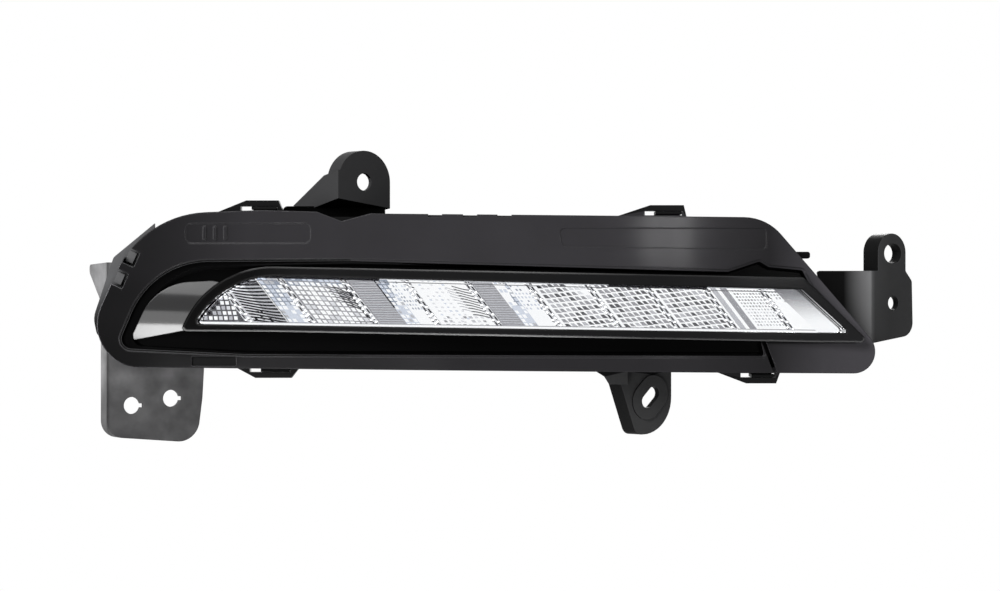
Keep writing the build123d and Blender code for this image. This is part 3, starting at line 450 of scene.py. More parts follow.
# Rubber, boards and metals
seal_rubber = skinned("seal_rubber", (0.02, 0.02, 0.02), 0.8, 0.9)
vent_rubber = skinned("vent_rubber", (0.018, 0.018, 0.019), 0.65, 0.75)
board_white = skinned("board_white", (0.75, 0.76, 0.75), 0.4, 0.5)
board_green = skinned("board_green", (0.03, 0.18, 0.08), 0.35, 0.45)
emitter_yellow = skinned("emitter_yellow", (0.8, 0.65, 0.2), 0.3, 0.4)
part_grey = skinned("part_grey", (0.05, 0.05, 0.055), 0.4, 0.5)
lead_red = skinned("lead_red", (0.4, 0.04, 0.03), 0.4, 0.5)
aluminised = metal("aluminised", (0.86, 0.87, 0.89), 0.06, 0.1)
zinc_steel = metal("zinc_steel", (0.62, 0.62, 0.63), 0.25, 0.35, 0.01)
sink_metal = metal("sink_metal", (0.75, 0.76, 0.77), 0.3, 0.4, 0.01)
tinned_brass = metal("tinned_brass", (0.78, 0.76, 0.7), 0.2, 0.3, 0.01)

# Tones of the mirror's facets, from white to dark, and two blues: tinted mirror metals that paint the
# reflector's light and dark reflections
MIRROR_SMOOTH, MIRROR_ROUGH = 0.03, 0.05
MIRROR_WHITE = (0.96, 0.965, 0.975)
mirror_tones = [
    metal("mirror_" + tone_name, colour, MIRROR_SMOOTH, MIRROR_ROUGH)
    for tone_name, colour in (
        ("white", MIRROR_WHITE),
        ("pale", (0.72, 0.725, 0.75)),
        ("mist", (0.5, 0.505, 0.53)),
        ("grey", (0.34, 0.34, 0.36)),
        ("shade", (0.12, 0.12, 0.13)),
        ("dark", (0.015, 0.015, 0.018)),
        ("blue", (0.3, 0.335, 0.4)),
        ("sky", (0.64, 0.68, 0.76)),
    )
]
WHITE, PALE, MIST, GREY, SHADE, DARK, BLUE, SKY = range(len(mirror_tones))

# Lens: clear, with a low index, so that the mirror shows without glare
LENS_TINT = (0.98, 0.985, 0.99, 1.0)
LENS_INDEX = 1.15
clear_lens = bpy.data.materials.new("clear_lens")
clear_lens.use_nodes = True
lens_shader = clear_lens.node_tree.nodes["Principled BSDF"]
lens_shader.inputs["Base Color"].default_value = LENS_TINT
lens_shader.inputs["Roughness"].default_value = 0.0
lens_shader.inputs["IOR"].default_value = LENS_INDEX
lens_shader.inputs["Transmission Weight"].default_value = 1.0


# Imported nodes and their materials
def dress(node_name, material):
    """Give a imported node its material."""
    mesh = nodes[node_name].data
    mesh.materials.clear()
    mesh.materials.append(material)


for node_name, material in (
    ("bezel_frame", satin_black),
    ("recess_panel", deep_black),
    ("lens_surround", surround_black),
    ("outer_lens", clear_lens),
    ("lens_seal", seal_rubber),
    ("housing_seal", seal_rubber),
    ("reflector", aluminised),
    ("carrier_frame", carrier_black),
    ("top_ear", bracket_black),
    ("right_bracket", arm_black),
    ("left_bracket", bracket_grey),
    ("rear_housing", housing_black),
    ("vent_cap", vent_rubber),
    ("connector_pins", tinned_brass),
    ("led_board", board_white),
    ("led_emitters", emitter_yellow),
    ("heat_sink", sink_metal),
    ("driver_board", board_green),
    ("driver_components", part_grey),
    ("lead_wires", lead_red),
    ("reflector_screws", zinc_steel),
    ("housing_screws", zinc_steel),
    ("board_screws", zinc_steel),
    ("driver_screws", zinc_steel),
    ("bracket_screws", zinc_steel),
):
    dress(node_name, material)

# Places of the faces that get a second material, in millimetres from the datum
WING_RIGHT = -95.0
EAR_PLATE_DEPTH = 22.0
CLIP_FRONT, CLIP_TOP, CLIP_BOTTOM = 6.5, 32.8, -31.9
LIP_RIGHT, LIP_TOP, LIP_STEP = -60.0, 18.0, 0.3
POCKET_LEFT, POCKET_RIGHT, POCKET_LOW, POCKET_HIGH = -124.0, -106.0, -28.3, -24.6
TAB_LEFT, TAB_RIGHT = 30.0, 75.0
CATCH_RIGHT = -140.0

# How far a normal points along an axis if its face looks that way: squarely, mostly, partly or barely
SQUARELY, MOSTLY, PARTLY, BARELY = 0.9, 0.5, 0.3, 0.1
WALL_FORWARD = 0.6
BOW_TURN = 0.05


def on_wing(u, depth, v, normal):
    """The polished wing at the recess's left end; the rim round it turns with the lamp's bow."""
    before_floor = depth < FLOOR_FRONT - SNUG
    return u < WING_RIGHT and before_floor and normal.y < -SQUARELY and normal.x > -BOW_TURN


def on_recess_wall(u, depth, v, normal):
    """The recess's walls that look down, which are matt."""
    return -WALL_FORWARD < normal.y < -BARELY and normal.z < -BARELY


def under_ear(u, depth, v, normal):
    """The ear's underside and what stands behind its plate, in its shade."""
    return normal.z < -MOSTLY or (depth > EAR_PLATE_DEPTH and normal.y < -SQUARELY)


def on_clip(u, depth, v, normal):
    """The bezel's clips, above and below its face, which get painted shade."""
    return depth > CLIP_FRONT and (v > CLIP_TOP or v < CLIP_BOTTOM)


def on_lip(u, depth, v, normal):
    """The bezel's step round the opening's left end, which gets painted shade."""
    looks_inwards = abs(normal.y) < SQUARELY and (u - LIP_RIGHT) * normal.x + v * normal.z < 0.0
    set_back = normal.y < -SQUARELY and depth - u * u / (2 * FACE_RADIUS) > LIP_STEP
    return u < LIP_RIGHT and v < LIP_TOP and (looks_inwards or set_back)


def in_pocket(u, depth, v, normal):
    """The floor of the pocket in the bezel's lower left, which gets painted shade."""
    return POCKET_LEFT < u < POCKET_RIGHT and POCKET_LOW < v < POCKET_HIGH and normal.y < -MOSTLY


def on_arm_cheek(u, depth, v, normal):
    """The right bracket's left cheek and underside, which are darker with painted shade."""
    return normal.x < -PARTLY or normal.z < -MOSTLY


def on_tab(u, depth, v, normal):
    """The carrier's lower tab, apart from its left cheek, for painted light on the tab."""
    return v < -BOTTOM_EDGE and TAB_LEFT < u < TAB_RIGHT and normal.x > -PARTLY


def on_catch(u, depth, v, normal):
    """The carrier's catches at the left end, as far as they look forward, which get painted light."""
    return u < CATCH_RIGHT and depth < FLOOR_FRONT and normal.y < -SQUARELY


def dress_faces(node_name, material, chosen):
    """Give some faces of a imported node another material; chosen is told u, depth, v and the normal."""
    node = nodes[node_name]
    node.data.materials.append(material)
    newest = len(node.data.materials) - 1
    for polygon in node.data.polygons:
        spot = node.matrix_world @ polygon.center
        u, depth, v = (spot.x - DATUM_X) / MM, (spot.y - DATUM_Y) / MM, (spot.z - DATUM_Z) / MM
        if chosen(u, depth, v, polygon.normal):
            polygon.material_index = newest


for node_name, material, chosen in (
    ("recess_panel", gloss_black, on_wing),
    ("recess_panel", wall_black, on_recess_wall),
    ("top_ear", shade_black, under_ear),
    ("bezel_frame", clip_black, on_clip),
    ("bezel_frame", lip_black, on_lip),
    ("bezel_frame", clip_black, in_pocket),
    ("right_bracket", cheek_black, on_arm_cheek),
    ("carrier_frame", tab_black, on_tab),
    ("carrier_frame", catch_grey, on_catch),
):
    dress_faces(node_name, material, chosen)

# Reflector optics: facets, stripes and bead rows on a sheet that stands before the mirror's ribs; their
# tones are painted reflections
SHEET_GAP = 6.1
SHEET_TOP = 9.5
SHEET_BOTTOM = -16.0
STRIPS_PER_CELL = 5
RIB_FIRST = -112.6
RIB_PITCH = 25.65
RIB_SHRINK = 0.2
RIB_HALF = 0.06
RIB_DARK_SHARES = (0.8, 0.7, 0.7, 0.5, 0.8, 0.4, 0.8, 1.0, 1.0, 0.7)

# Corners of the lit window, from the lamp's ends and edges; its upper left one is an arc
LOW_LEFT = (39.2 - LEFT_END, 20.1 - BOTTOM_EDGE)
LOW_RIGHT = (RIGHT_END - 10.6, 16.4 - BOTTOM_EDGE)
HIGH_RIGHT = (RIGHT_END - 29.8, TOP_EDGE - 28.6)
HIGH_LEFT = (52.8 - LEFT_END, TOP_EDGE - 22.7)
WINDOW_ROUND = 37.0
ROUND_STEPS = 14

# How far each kind of facet stands before the sheet
WASH_LIFT, TILE_LIFT, STRIPE_LIFT, LINE_LIFT = 0.05, 0.1, 0.15, 0.2
BEAD_LIFT, DASH_LIFT, LEDGE_LIFT = 0.25, 0.3, 0.9

# Facets: pillows vary in size, and a fin is a pillow with a long foot and a short head
PILLOW_JITTER = 0.12
FIN_FOOT, FIN_HEAD = 1.25, 0.8
STRIPE_PARTS, STRIPE_BEND, STRIPE_DRIFT = 10, 1.1, 0.25
BEAD_PITCH, BEAD_RADIUS, BEAD_SIDES, BEAD_REACH = 1.5, 0.72, 6, 0.75
DASH_HALF, DASH_WIDTH = 0.8, 0.7
CREASE_WIDTH = 0.012
LATTICE_COLUMNS = 13
LATTICE_LEAST = 3


def surround_line(u):
    """Depth of the lens surround's face along the lamp."""
    rise_left = (SURROUND_LEFT_DEPTH - SURROUND_MID_DEPTH) / LEFT_END
    rise_right = (SURROUND_RIGHT_DEPTH - SURROUND_MID_DEPTH) / RIGHT_END
    curve = (rise_left + rise_right) / (LEFT_END + RIGHT_END)
    return SURROUND_MID_DEPTH + (rise_right - curve * RIGHT_END) * u + curve * u * u


def sheet_point(u, v, lift=0.0):
    """Point on the optic sheet, lifted to the front."""
    return place(u, surround_line(u) + SHEET_GAP - lift, v)


def rib_u(rib):
    """Place of a rib at the ribs' level; the cells narrow towards the right."""
    return RIB_FIRST + RIB_PITCH * rib - RIB_SHRINK * rib * (rib - 1)


def slant(v):
    """How far a rib stands to the right, at a level, of its place at the ribs' level."""
    return RIB_SLANT * (RIB_LEVEL - v)


def cell_u(cell, across, v):
    """Place across a cell, from its left rib at nought to its right rib at one."""
    left, right = rib_u(cell), rib_u(cell + 1)
    return left + (right - left) * across + slant(v)


def edge_level(u, left, right):
    """Height of one of the window's long edges, given its end corners."""
    return left[1] + (right[1] - left[1]) * (u - left[0]) / (right[0] - left[0])


def quad(mesh, corners, tone):
    """Flat facet."""
    face = mesh.faces.new([mesh.verts.new(corner) for corner in corners])
    face.material_index = tone


def facet(mesh, cell, spots, tone, lift):
    """Facet of a cell, with its corners given by place across the cell and level."""
    quad(mesh, [sheet_point(cell_u(cell, across, v), v, lift) for across, v in spots], tone)


def ground(mesh, cell, left, right, tone, low=SHEET_BOTTOM, high=SHEET_TOP, lift=0.0):
    """Plain ground of a zone, in pieces short enough to follow the lamp's bow."""
    strips = max(1, round((right - left) * STRIPS_PER_CELL))
    for i in range(strips):
        a = left + (right - left) * i / strips
        b = left + (right - left) * (i + 1) / strips
        facet(mesh, cell, ((a, low), (b, low), (b, high), (a, high)), tone, lift)


def pillows(
    mesh,
    cell,
    left,
    right,
    columns,
    pitch,
    fill,
    tones,
    low=SHEET_BOTTOM,
    high=SHEET_TOP,
    rise=0.0,
    foot=1.0,
    head=1.0,
):
    """Rows and columns of pillows, each filling a share of its square; tones picks a tone or none."""
    rows = round((high - low) / pitch)
    width = (right - left) / columns
    for j in range(rows):
        for i in range(columns):
            tone = tones(i / columns, low + pitch * j)
            if tone is None:
                continue
            size = fill * dice.uniform(1 - PILLOW_JITTER, 1 + PILLOW_JITTER)
            side = left + width * (i + (1 - size) / 2)
            base = low + pitch * (j + (1 - size) / 2) + rise * (i / columns - 0.5)
            reach = width * size
            top = base + pitch * size
            spots = ((side, base), (side + foot * reach, base), (side + head * reach, top), (side, top))
            facet(mesh, cell, spots, tone, TILE_LIFT)


def stripes(
    mesh,
    cell,
    left,
    right,
    pitch,
    fill,
    tone,
    wave,
    fall,
    low=SHEET_BOTTOM,
    high=SHEET_TOP,
):
    """Level stripes across a zone, bent in a slow wave and falling to the right."""
    for j in range(round((high - low) / pitch)):
        base = low + pitch * j
        for i in range(STRIPE_PARTS):
            ends = []
            for k in (i, i + 1):
                share = k / STRIPE_PARTS
                sway = wave * math.sin(STRIPE_BEND * math.pi * share + STRIPE_DRIFT * j) - fall * share
                ends.append((left + (right - left) * share, base + sway))
            (a, low_a), (b, low_b) = ends
            spots = ((a, low_a), (b, low_b), (b, low_b + pitch * fill), (a, low_a + pitch * fill))
            facet(mesh, cell, spots, tone, STRIPE_LIFT)


def dash(mesh, u, v):
    """Dark dash along a rib's slant."""
    lean = RIB_SLANT * DASH_HALF
    top, bottom = (u - lean, v + DASH_HALF), (u + lean, v - DASH_HALF)
    left, right = -DASH_WIDTH / 2, DASH_WIDTH / 2
    spots = (
        (top[0] + left, top[1]),
        (bottom[0] + left, bottom[1]),
        (bottom[0] + right, bottom[1]),
        (top[0] + right, top[1]),
    )
    quad(mesh, [sheet_point(a, b, DASH_LIFT) for a, b in spots], DARK)


def dome(mesh, u, v):
    """Small bright dome."""
    tip = mesh.verts.new(sheet_point(u, v, BEAD_LIFT + BEAD_RADIUS))
    ring = []
    for k in range(BEAD_SIDES):
        angle = 2 * math.pi * k / BEAD_SIDES
        across, up = BEAD_RADIUS * math.cos(angle), BEAD_RADIUS * math.sin(angle)
        ring.append(mesh.verts.new(sheet_point(u + across, v + up, BEAD_LIFT)))
    for k in range(BEAD_SIDES):
        face = mesh.faces.new((tip, ring[k - 1], ring[k]))
        face.material_index = WHITE
        face.smooth = True


def beads(mesh, rib, dark_share):
    """Zigzag double row along a rib: bright domes, with dark dashes at some of the turns."""
    for j in range(int((SHEET_TOP - SHEET_BOTTOM) / BEAD_PITCH)):
        for column, side in enumerate((-BEAD_REACH, BEAD_REACH)):
            v = SHEET_BOTTOM + BEAD_PITCH * (j + 0.5 * column)
            u = rib_u(rib) + slant(v) + side
            dark = (j + column) % 2 and dice.random() < dark_share
            if dark:
                dash(mesh, u, v)
            else:
                dome(mesh, u, v)


def pick(*choices):
    """Tone drawn by the dice for every facet."""
    return lambda across, v: dice.choice(choices)


def left_tip(mesh):
    """Coarse bright squares on dark, left of the first rib, with a dark patch in their midst."""
    ground(mesh, -1, -0.2, 1.0, SHADE)
    count, pitch, fill = 10, 2.05, 0.7
    start_u = RIB_FIRST - 17.0
    row_shift = 0.25
    lean = 0.2
    rib_margin = 1.0
    patch_u, patch_v, patch_reach = -119.0, -4.0, 4.0
    side = pitch * fill
    for row in range(count):
        for column in range(count):
            u = start_u + pitch * column + row_shift * pitch * (count - row)
            v = SHEET_BOTTOM + pitch * row
            if u > rib_u(0) + slant(v) - rib_margin:
                continue
            near = math.hypot(u - patch_u, v - patch_v) < patch_reach
            tone = dice.choice((DARK, SHADE, MIST) if near else (WHITE, WHITE, WHITE, PALE, MIST))
            spots = ((u, v), (u + side, v), (u + side - lean, v + side), (u - lean, v + side))
            quad(mesh, [sheet_point(a, b, TILE_LIFT) for a, b in spots], tone)


def blue_lattice(mesh, cell, left, right):
    """Small bright squares on pale blue, dull along the top."""
    dull, bright = 4.0, -4.0
    columns = max(LATTICE_LEAST, round((right - left) * LATTICE_COLUMNS))
    ground(mesh, cell, left, right, BLUE)
    ground(mesh, cell, left, right, SKY, SHEET_BOTTOM, bright, lift=WASH_LIFT)

    def tones(across, v):
        if v > dull:
            return dice.choice((BLUE, MIST, SKY))
        if v > bright:
            return dice.choice((SKY, WHITE, WHITE))
        return dice.choice((WHITE, WHITE, SKY, MIST))

    pillows(mesh, cell, left, right, columns, pitch=1.7, fill=0.72, tones=tones)


def wavy_cell(mesh, cell):
    """Wavy dark stripes under a dark head, a crease, then the blue lattice."""
    crease = 0.62
    crease_shade = 0.01
    head = 4.0
    ground(mesh, cell, 0.0, crease, PALE)
    ground(mesh, cell, 0.0, crease, SHADE, low=head, lift=TILE_LIFT)
    ground(mesh, cell, 0.35, crease, MIST, high=head, lift=TILE_LIFT)
    stripes(mesh, cell, 0.08, crease, pitch=1.3, fill=0.55, tone=DARK, wave=0.5, fall=1.3)
    speckle = pick(DARK, None, None)
    pillows(mesh, cell, 0.06, 0.4, columns=6, pitch=1.0, fill=0.7, tones=speckle, low=-13.0, high=-6.0)
    blue_lattice(mesh, cell, crease, 0.95)
    ground(mesh, cell, crease - CREASE_WIDTH, crease, WHITE, lift=LINE_LIFT)
    ground(mesh, cell, crease, crease + crease_shade, SHADE, lift=LINE_LIFT)


def grid_cell(mesh, cell):
    """Squares that run from blue at the top to white at the foot, with painted dark reflections streaked
    across the right.
    """
    blue_ground, blue_squares = 4.0, 5.0
    reflected_streak = {"pitch": 1.15, "wave": 0.3}
    ground(mesh, cell, 0.0, 1.0, GREY)
    ground(mesh, cell, 0.0, 1.0, BLUE, low=blue_ground, lift=WASH_LIFT)

    def tones(across, v):
        if v > blue_squares:
            return dice.choice((BLUE, SKY, SKY))
        return dice.choice((WHITE, WHITE, WHITE, PALE))

    pillows(mesh, cell, 0.08, 0.94, columns=10, pitch=1.95, fill=0.76, tones=tones, rise=-1.4)
    stripes(mesh, cell, 0.76, 0.94, fill=0.6, tone=DARK, fall=2.0, low=-4.0, high=3.5, **reflected_streak)
    stripes(mesh, cell, 0.64, 0.78, fill=0.35, tone=SHADE, fall=1.0, low=-2.0, high=4.5, **reflected_streak)


def grey_cell(mesh, cell, crease, crease_tone):
    """Plain grey with faint lines, a crease, then the blue lattice that runs into white."""
    lattice_right = crease + 0.22
    fade = pick(SKY, SKY, BLUE, None)
    ground(mesh, cell, 0.0, crease, GREY)
    stripes(mesh, cell, 0.08, crease, pitch=0.95, fill=0.4, tone=MIST, wave=0.05, fall=0.0)
    ground(mesh, cell, crease, 1.0, WHITE)
    blue_lattice(mesh, cell, crease, lattice_right)
    pillows(mesh, cell, lattice_right, 0.95, columns=5, pitch=1.5, fill=0.5, tones=fade, low=-6.0)
    line_left, line_right = crease - CREASE_WIDTH, crease + CREASE_WIDTH
    ground(mesh, cell, line_left, line_right, crease_tone, low=-5.0, lift=LINE_LIFT)


def white_cell(mesh, cell):
    """White with faint dotted columns and grey dashes at the right and along the foot."""
    dots = pick(PALE, PALE, SKY, None)
    foot_dots = pick(MIST, GREY, PALE, None)
    dashes = {"pitch": 1.25, "wave": 0.3}
    ground(mesh, cell, 0.0, 1.0, WHITE)
    pillows(mesh, cell, 0.14, 0.62, columns=5, pitch=1.5, fill=0.4, tones=dots)
    stripes(mesh, cell, 0.7, 0.95, fill=0.4, tone=SHADE, fall=1.2, low=-8.0, high=4.5, **dashes)
    stripes(mesh, cell, 0.58, 0.72, fill=0.3, tone=MIST, fall=0.6, low=-6.0, high=4.0, **dashes)
    pillows(mesh, cell, 0.12, 0.95, columns=9, pitch=1.6, fill=0.55, tones=foot_dots, high=-8.0)


def pillow_cell(mesh, cell, fades):
    """Grey fins on white, darker towards the top; one cell fades at its upper right."""
    dark_from, grey_from = 2.0, -6.0
    fade_left, fade_right, fade_level, fade_slope = 0.55, 0.9, -4.0, 14.0
    ground(mesh, cell, 0.0, 1.0, WHITE)

    def tones(across, v):
        if fades and across > fade_left and v > fade_level + fade_slope * (fade_right - across):
            return dice.choice((PALE, None))
        if v > dark_from:
            return dice.choice((SHADE, SHADE, DARK, GREY))
        if v > grey_from:
            return dice.choice((GREY, GREY, SHADE, SHADE, MIST))
        return dice.choice((GREY, GREY, SHADE, MIST))

    fin = {"foot": FIN_FOOT, "head": FIN_HEAD}
    pillows(mesh, cell, 0.1, 0.93, columns=8, pitch=1.95, fill=0.7, tones=tones, rise=2.0, **fin)


def fluted_cell(mesh, cell):
    """Two wide grey flutes, then a fine dotted grid that stops short of the foot."""
    pale_below = -6.0
    ground(mesh, cell, 0.0, 1.0, WHITE)
    for side, width, flute_tone in ((0.1, 0.1, MIST), (0.27, 0.12, GREY)):
        ground(mesh, cell, side, side + width, flute_tone, lift=TILE_LIFT)

    def tones(across, v):
        return dice.choice((GREY, GREY, MIST)) if v > pale_below else dice.choice((MIST, PALE))

    pillows(mesh, cell, 0.44, 1.0, columns=10, pitch=1.25, fill=0.52, tones=tones, low=-12.5)


def fading_cell(mesh, cell):
    """Fine dots at the top that fade into plain white."""
    fade_level, fade_slope = -1.0, -7.0
    ground(mesh, cell, 0.0, 1.4, WHITE)

    def tones(across, v):
        return dice.choice((GREY, MIST)) if v > fade_slope * across + fade_level else None

    pillows(mesh, cell, 0.08, 0.6, columns=9, pitch=1.25, fill=0.55, tones=tones, low=-8.0)


def ledges(mesh):
    """Bright ledge along the foot, and the narrow strip under the window's top edge, painted dark as
    shadow at its left end and along a stretch right of the middle.
    """
    steps = 60
    dark_left = -50.0
    dark_from, dark_to = 40.0, 82.0
    for i in range(steps):
        a, b = (LOW_LEFT[0] + (LOW_RIGHT[0] - LOW_LEFT[0]) * k / steps for k in (i, i + 1))
        foot = [edge_level(u, LOW_LEFT, LOW_RIGHT) for u in (a, b)]
        head = [edge_level(u, HIGH_LEFT, HIGH_RIGHT) for u in (a, b)]
        if dark_from < a < dark_to:
            brow = ((head, -1.0, 0.5, DARK),)
        elif a < dark_left:
            brow = ((head, -0.9, 0.5, DARK), (head, -2.1, -1.8, GREY))
        else:
            brow = ((head, -0.3, 0.5, MIST), (head, -1.4, -1.1, SHADE))
        for (at_a, at_b), low, high, tone in ((foot, -0.5, 0.9, WHITE), (foot, 0.9, 1.2, GREY)) + brow:
            spots = ((a, at_a + low), (b, at_b + low), (b, at_b + high), (a, at_a + high))
            quad(mesh, [sheet_point(u, v, LEDGE_LIFT) for u, v in spots], tone)


def build_optics(mesh):
    """All cells from the pointed left end to the blank at the right, and the ribs between."""
    left_tip(mesh)
    wavy_cell(mesh, 0)
    grid_cell(mesh, 1)
    grey_cell(mesh, 2, crease=0.5, crease_tone=DARK)
    white_cell(mesh, 3)
    grey_cell(mesh, 4, crease=0.43, crease_tone=WHITE)
    for cell in (5, 6, 7):
        pillow_cell(mesh, cell, fades=cell == 5)
    fluted_cell(mesh, 8)
    fading_cell(mesh, 9)
    # A painted dark reflection beside the grid cell's right rib
    ground(mesh, 1, 0.93, 0.955, DARK, low=-9.0, high=3.0, lift=BEAD_LIFT)
    for rib, dark_share in enumerate(RIB_DARK_SHARES):
        ground(mesh, rib, -RIB_HALF, RIB_HALF, PALE, lift=LINE_LIFT)
        beads(mesh, rib, dark_share)
    ledges(mesh)


def window_outline():
    """Corners of the window, its upper left one as an arc."""
    ends = [Vector(end) for end in (LOW_LEFT, LOW_RIGHT, HIGH_RIGHT, HIGH_LEFT)]
    corner = ends[3]
    to_right = (ends[2] - corner).normalized()
    to_low = (ends[0] - corner).normalized()
    half = to_right.angle(to_low) / 2
    run = WINDOW_ROUND / math.tan(half)
    middle = corner + (to_right + to_low).normalized() * (WINDOW_ROUND / math.sin(half))
    start = corner + to_right * run - middle
    sweep = math.pi - 2 * half
    arc = []
    for i in range(ROUND_STEPS + 1):
        angle = sweep * i / ROUND_STEPS
        cosine, sine = math.cos(angle), math.sin(angle)
        turned = Vector((start.x * cosine - start.y * sine, start.x * sine + start.y * cosine))
        arc.append(middle + turned)
    return ends[:3] + arc


def clip(mesh, start, end):
    """Keep what lies left of the line from start to end, seen from the front."""
    geometry = mesh.verts[:] + mesh.edges[:] + mesh.faces[:]
    along = end - start
    bmesh.ops.bisect_plane(
        mesh,
        geom=geometry,
        plane_co=place(start.x, 0, start.y),
        plane_no=Vector((along.y, 0, -along.x)).normalized(),
        clear_outer=True,
    )


def clip_to_window(mesh):
    """Keep what lies in the window, seen from the front."""
    points = window_outline()
    for start, end in zip(points, points[1:] + points[:1]):
        clip(mesh, start, end)


def add_object(name, mesh, materials):
    """Turn a bmesh into a piece that rides on the lamp."""
    data = bpy.data.meshes.new(name)
    mesh.to_mesh(data)
    mesh.free()
    for material in materials:
        data.materials.append(material)
    piece = bpy.data.objects.new(name, data)
    scene.collection.objects.link(piece)
    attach(piece, "root")


def blank_edge(v):
    """Point of the line between the cells and the plain plate, at a level."""
    return Vector((BLANK_START + BLANK_SLANT * (BLANK_LEVEL - v), v))


optics = bmesh.new()
build_optics(optics)
clip_to_window(optics)
clip(optics, blank_edge(SHEET_BOTTOM), blank_edge(SHEET_TOP))
add_object("reflector_optics", optics, mirror_tones)

# The plain plate at the right of the cells is dull at its head and bright at its foot, a painted
# reflection
BLANK_DEPTH = 16.1
BLANK_SMOOTH, BLANK_ROUGH = 0.04, 0.06
BLANK_DULL_LEVEL, BLANK_BRIGHT_LEVEL = 3.0, -12.0
BLANK_DULL = (0.22, 0.22, 0.235)


def make_blank_plate():
    """Mirror metal that fades from dull at the head to white at the foot, a painted reflection."""
    material = metal("blank_plate", MIRROR_WHITE, BLANK_SMOOTH, BLANK_ROUGH)
    tree = material.node_tree
    where = add_node(tree, "ShaderNodeTexCoord")
    axes = add_node(tree, "ShaderNodeSeparateXYZ")
    fade = add_node(tree, "ShaderNodeMapRange", interpolation_type="SMOOTHSTEP")
    fade.inputs["From Min"].default_value = DATUM_Z + BLANK_DULL_LEVEL * MM
    fade.inputs["From Max"].default_value = DATUM_Z + BLANK_BRIGHT_LEVEL * MM
    tone = add_node(tree, "ShaderNodeMix", data_type="RGBA")
    feed(tree, BLANK_DULL, tone.inputs["A"])
    feed(tree, MIRROR_WHITE, tone.inputs["B"])
    tree.links.new(where.outputs["Object"], axes.inputs["Vector"])
    tree.links.new(axes.outputs["Z"], fade.inputs["Value"])
    tree.links.new(fade.outputs["Result"], tone.inputs["Factor"])
    tree.links.new(tone.outputs["Result"], tree.nodes["Principled BSDF"].inputs["Base Color"])
    return material


blank = bmesh.new()
blank_spots = (
    (blank_edge(SHEET_TOP).x, SHEET_TOP),
    (blank_edge(SHEET_BOTTOM).x, SHEET_BOTTOM),
    (RIGHT_END, SHEET_BOTTOM),
    (RIGHT_END, SHEET_TOP),
)
quad(blank, [place(u, BLANK_DEPTH, v) for u, v in blank_spots], 0)
clip_to_window(blank)
add_object("reflector_blank", blank, [make_blank_plate()])

# Camera: straight at the lamp's datum
camera_data = bpy.data.cameras.new("camera")
camera_data.sensor_fit = "HORIZONTAL"
camera_data.sensor_width = SENSOR_WIDTH
camera_data.lens = SENSOR_WIDTH * CAMERA_DISTANCE / FRAME_WIDTH
camera_data.clip_end = 50.0
camera = bpy.data.objects.new("camera", camera_data)
camera.location = place(0, -CAMERA_DISTANCE / MM, 0)
camera.rotation_euler = (math.radians(90), 0, 0)
scene.collection.objects.link(camera)
scene.camera = camera

# Studio: white round the lamp, soft lamps, and a pale floor well below
FILL = 0.06
FILL_COLOUR = (0.95, 0.97, 1.0, 1.0)
FLOOR_DROP = 0.5
FLOOR_HALF = 0.8
FLOOR_GREY = (0.78, 0.78, 0.78)

world = bpy.data.worlds.new("studio")
scene.world = world
world.use_nodes = True
sky = world.node_tree
sky.nodes.clear()
path = add_node(sky, "ShaderNodeLightPath")
seen = add_node(sky, "ShaderNodeMath", operation="MAXIMUM")
seen_too = add_node(sky, "ShaderNodeMath", operation="MAXIMUM")
fill_light = add_node(sky, "ShaderNodeBackground")
fill_light.inputs["Color"].default_value = FILL_COLOUR
fill_light.inputs["Strength"].default_value = FILL
white = add_node(sky, "ShaderNodeBackground")
white.inputs["Color"].default_value = (1.0, 1.0, 1.0, 1.0)
white.inputs["Strength"].default_value = 1.0
choose = add_node(sky, "ShaderNodeMixShader")
out = add_node(sky, "ShaderNodeOutputWorld")
sky.links.new(path.outputs["Is Camera Ray"], seen.inputs[0])
sky.links.new(path.outputs["Is Glossy Ray"], seen.inputs[1])
sky.links.new(seen.outputs[0], seen_too.inputs[0])
sky.links.new(path.outputs["Is Transmission Ray"], seen_too.inputs[1])
sky.links.new(seen_too.outputs[0], choose.inputs["Fac"])
sky.links.new(fill_light.outputs[0], choose.inputs[1])
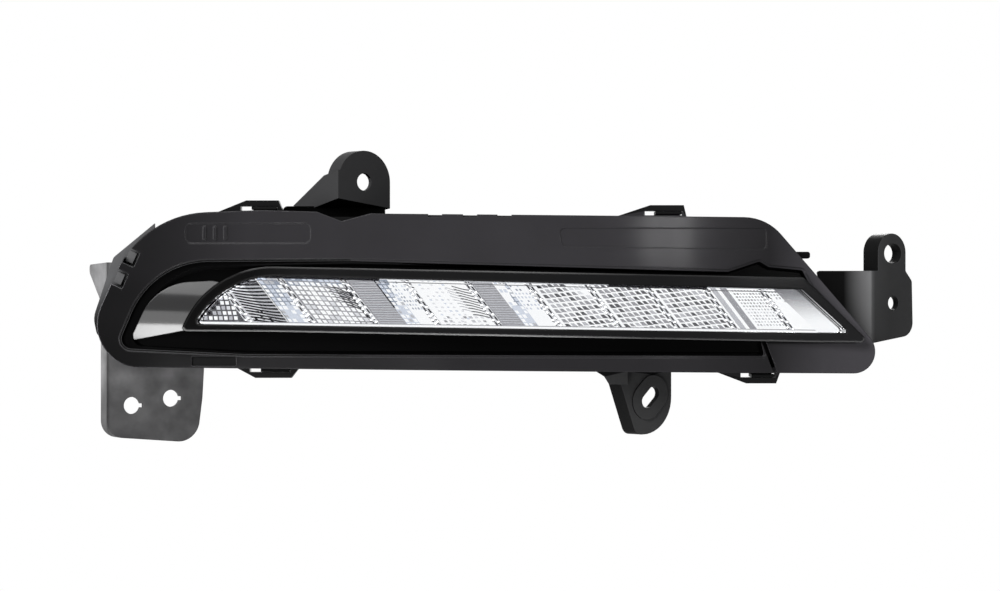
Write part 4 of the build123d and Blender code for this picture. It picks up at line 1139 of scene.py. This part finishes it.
sky.links.new(white.outputs[0], choose.inputs[2])
sky.links.new(choose.outputs[0], out.inputs["Surface"])

scene.view_settings.view_transform = "Standard"

floor_mesh = bmesh.new()
floor_corners = [
    (DATUM_X + x * FLOOR_HALF, DATUM_Y + y * FLOOR_HALF, DATUM_Z - FLOOR_DROP)
    for x, y in ((-1, -1), (1, -1), (1, 1), (-1, 1))
]
quad(floor_mesh, floor_corners, 0)
floor_data = bpy.data.meshes.new("floor")
floor_mesh.to_mesh(floor_data)
floor_mesh.free()
floor_data.materials.append(skinned("floor_paper", FLOOR_GREY, 0.7, 0.8, pale=1.02))
floor = bpy.data.objects.new("floor", floor_data)
scene.collection.objects.link(floor)


def softbox(name, spot, target, width, height, watts):
    """Rectangular lamp aimed at a point of the object."""
    data = bpy.data.lights.new(name, "AREA")
    data.shape = "RECTANGLE"
    data.size = width
    data.size_y = height
    data.energy = watts
    lamp = bpy.data.objects.new(name, data)
    lamp.location = spot
    lamp.rotation_euler = (target - Vector(spot)).to_track_quat("-Z", "Y").to_euler()
    lamp.visible_camera = False
    scene.collection.objects.link(lamp)


softbox("key_softbox", (-0.5, -1.0, 0.45), place(0, 0, 0), width=0.55, height=0.45, watts=11.0)
softbox("wing_sky", (-0.19, -1.0, 0.45), place(-100, 0, 60), width=0.3, height=0.5, watts=1.4)
softbox("left_softbox", (-0.5, -0.06, 0.03), place(-150, 20, -10), width=0.2, height=0.25, watts=1.0)
softbox("wing_strip", (-0.15, -0.6, -0.337), place(-135, 12, -12), width=0.08, height=0.18, watts=0.85)
softbox("wing_glow", (-0.15, -0.6, -0.16), place(-135, 12, -12), width=0.3, height=0.14, watts=0.35)
softbox("rear_softbox", (0.35, 1.1, 0.5), place(0, 40, 0), width=0.8, height=0.5, watts=12.0)
# Two narrow strips draw the bright bands on the bezel's upper right
for name, x, watts in (("first_strip", 0.286, 0.27), ("second_strip", 0.328, 0.31)):
    softbox(name, (x, -1.116, 0.06), place(65, 0, 20), width=0.022, height=0.16, watts=watts)
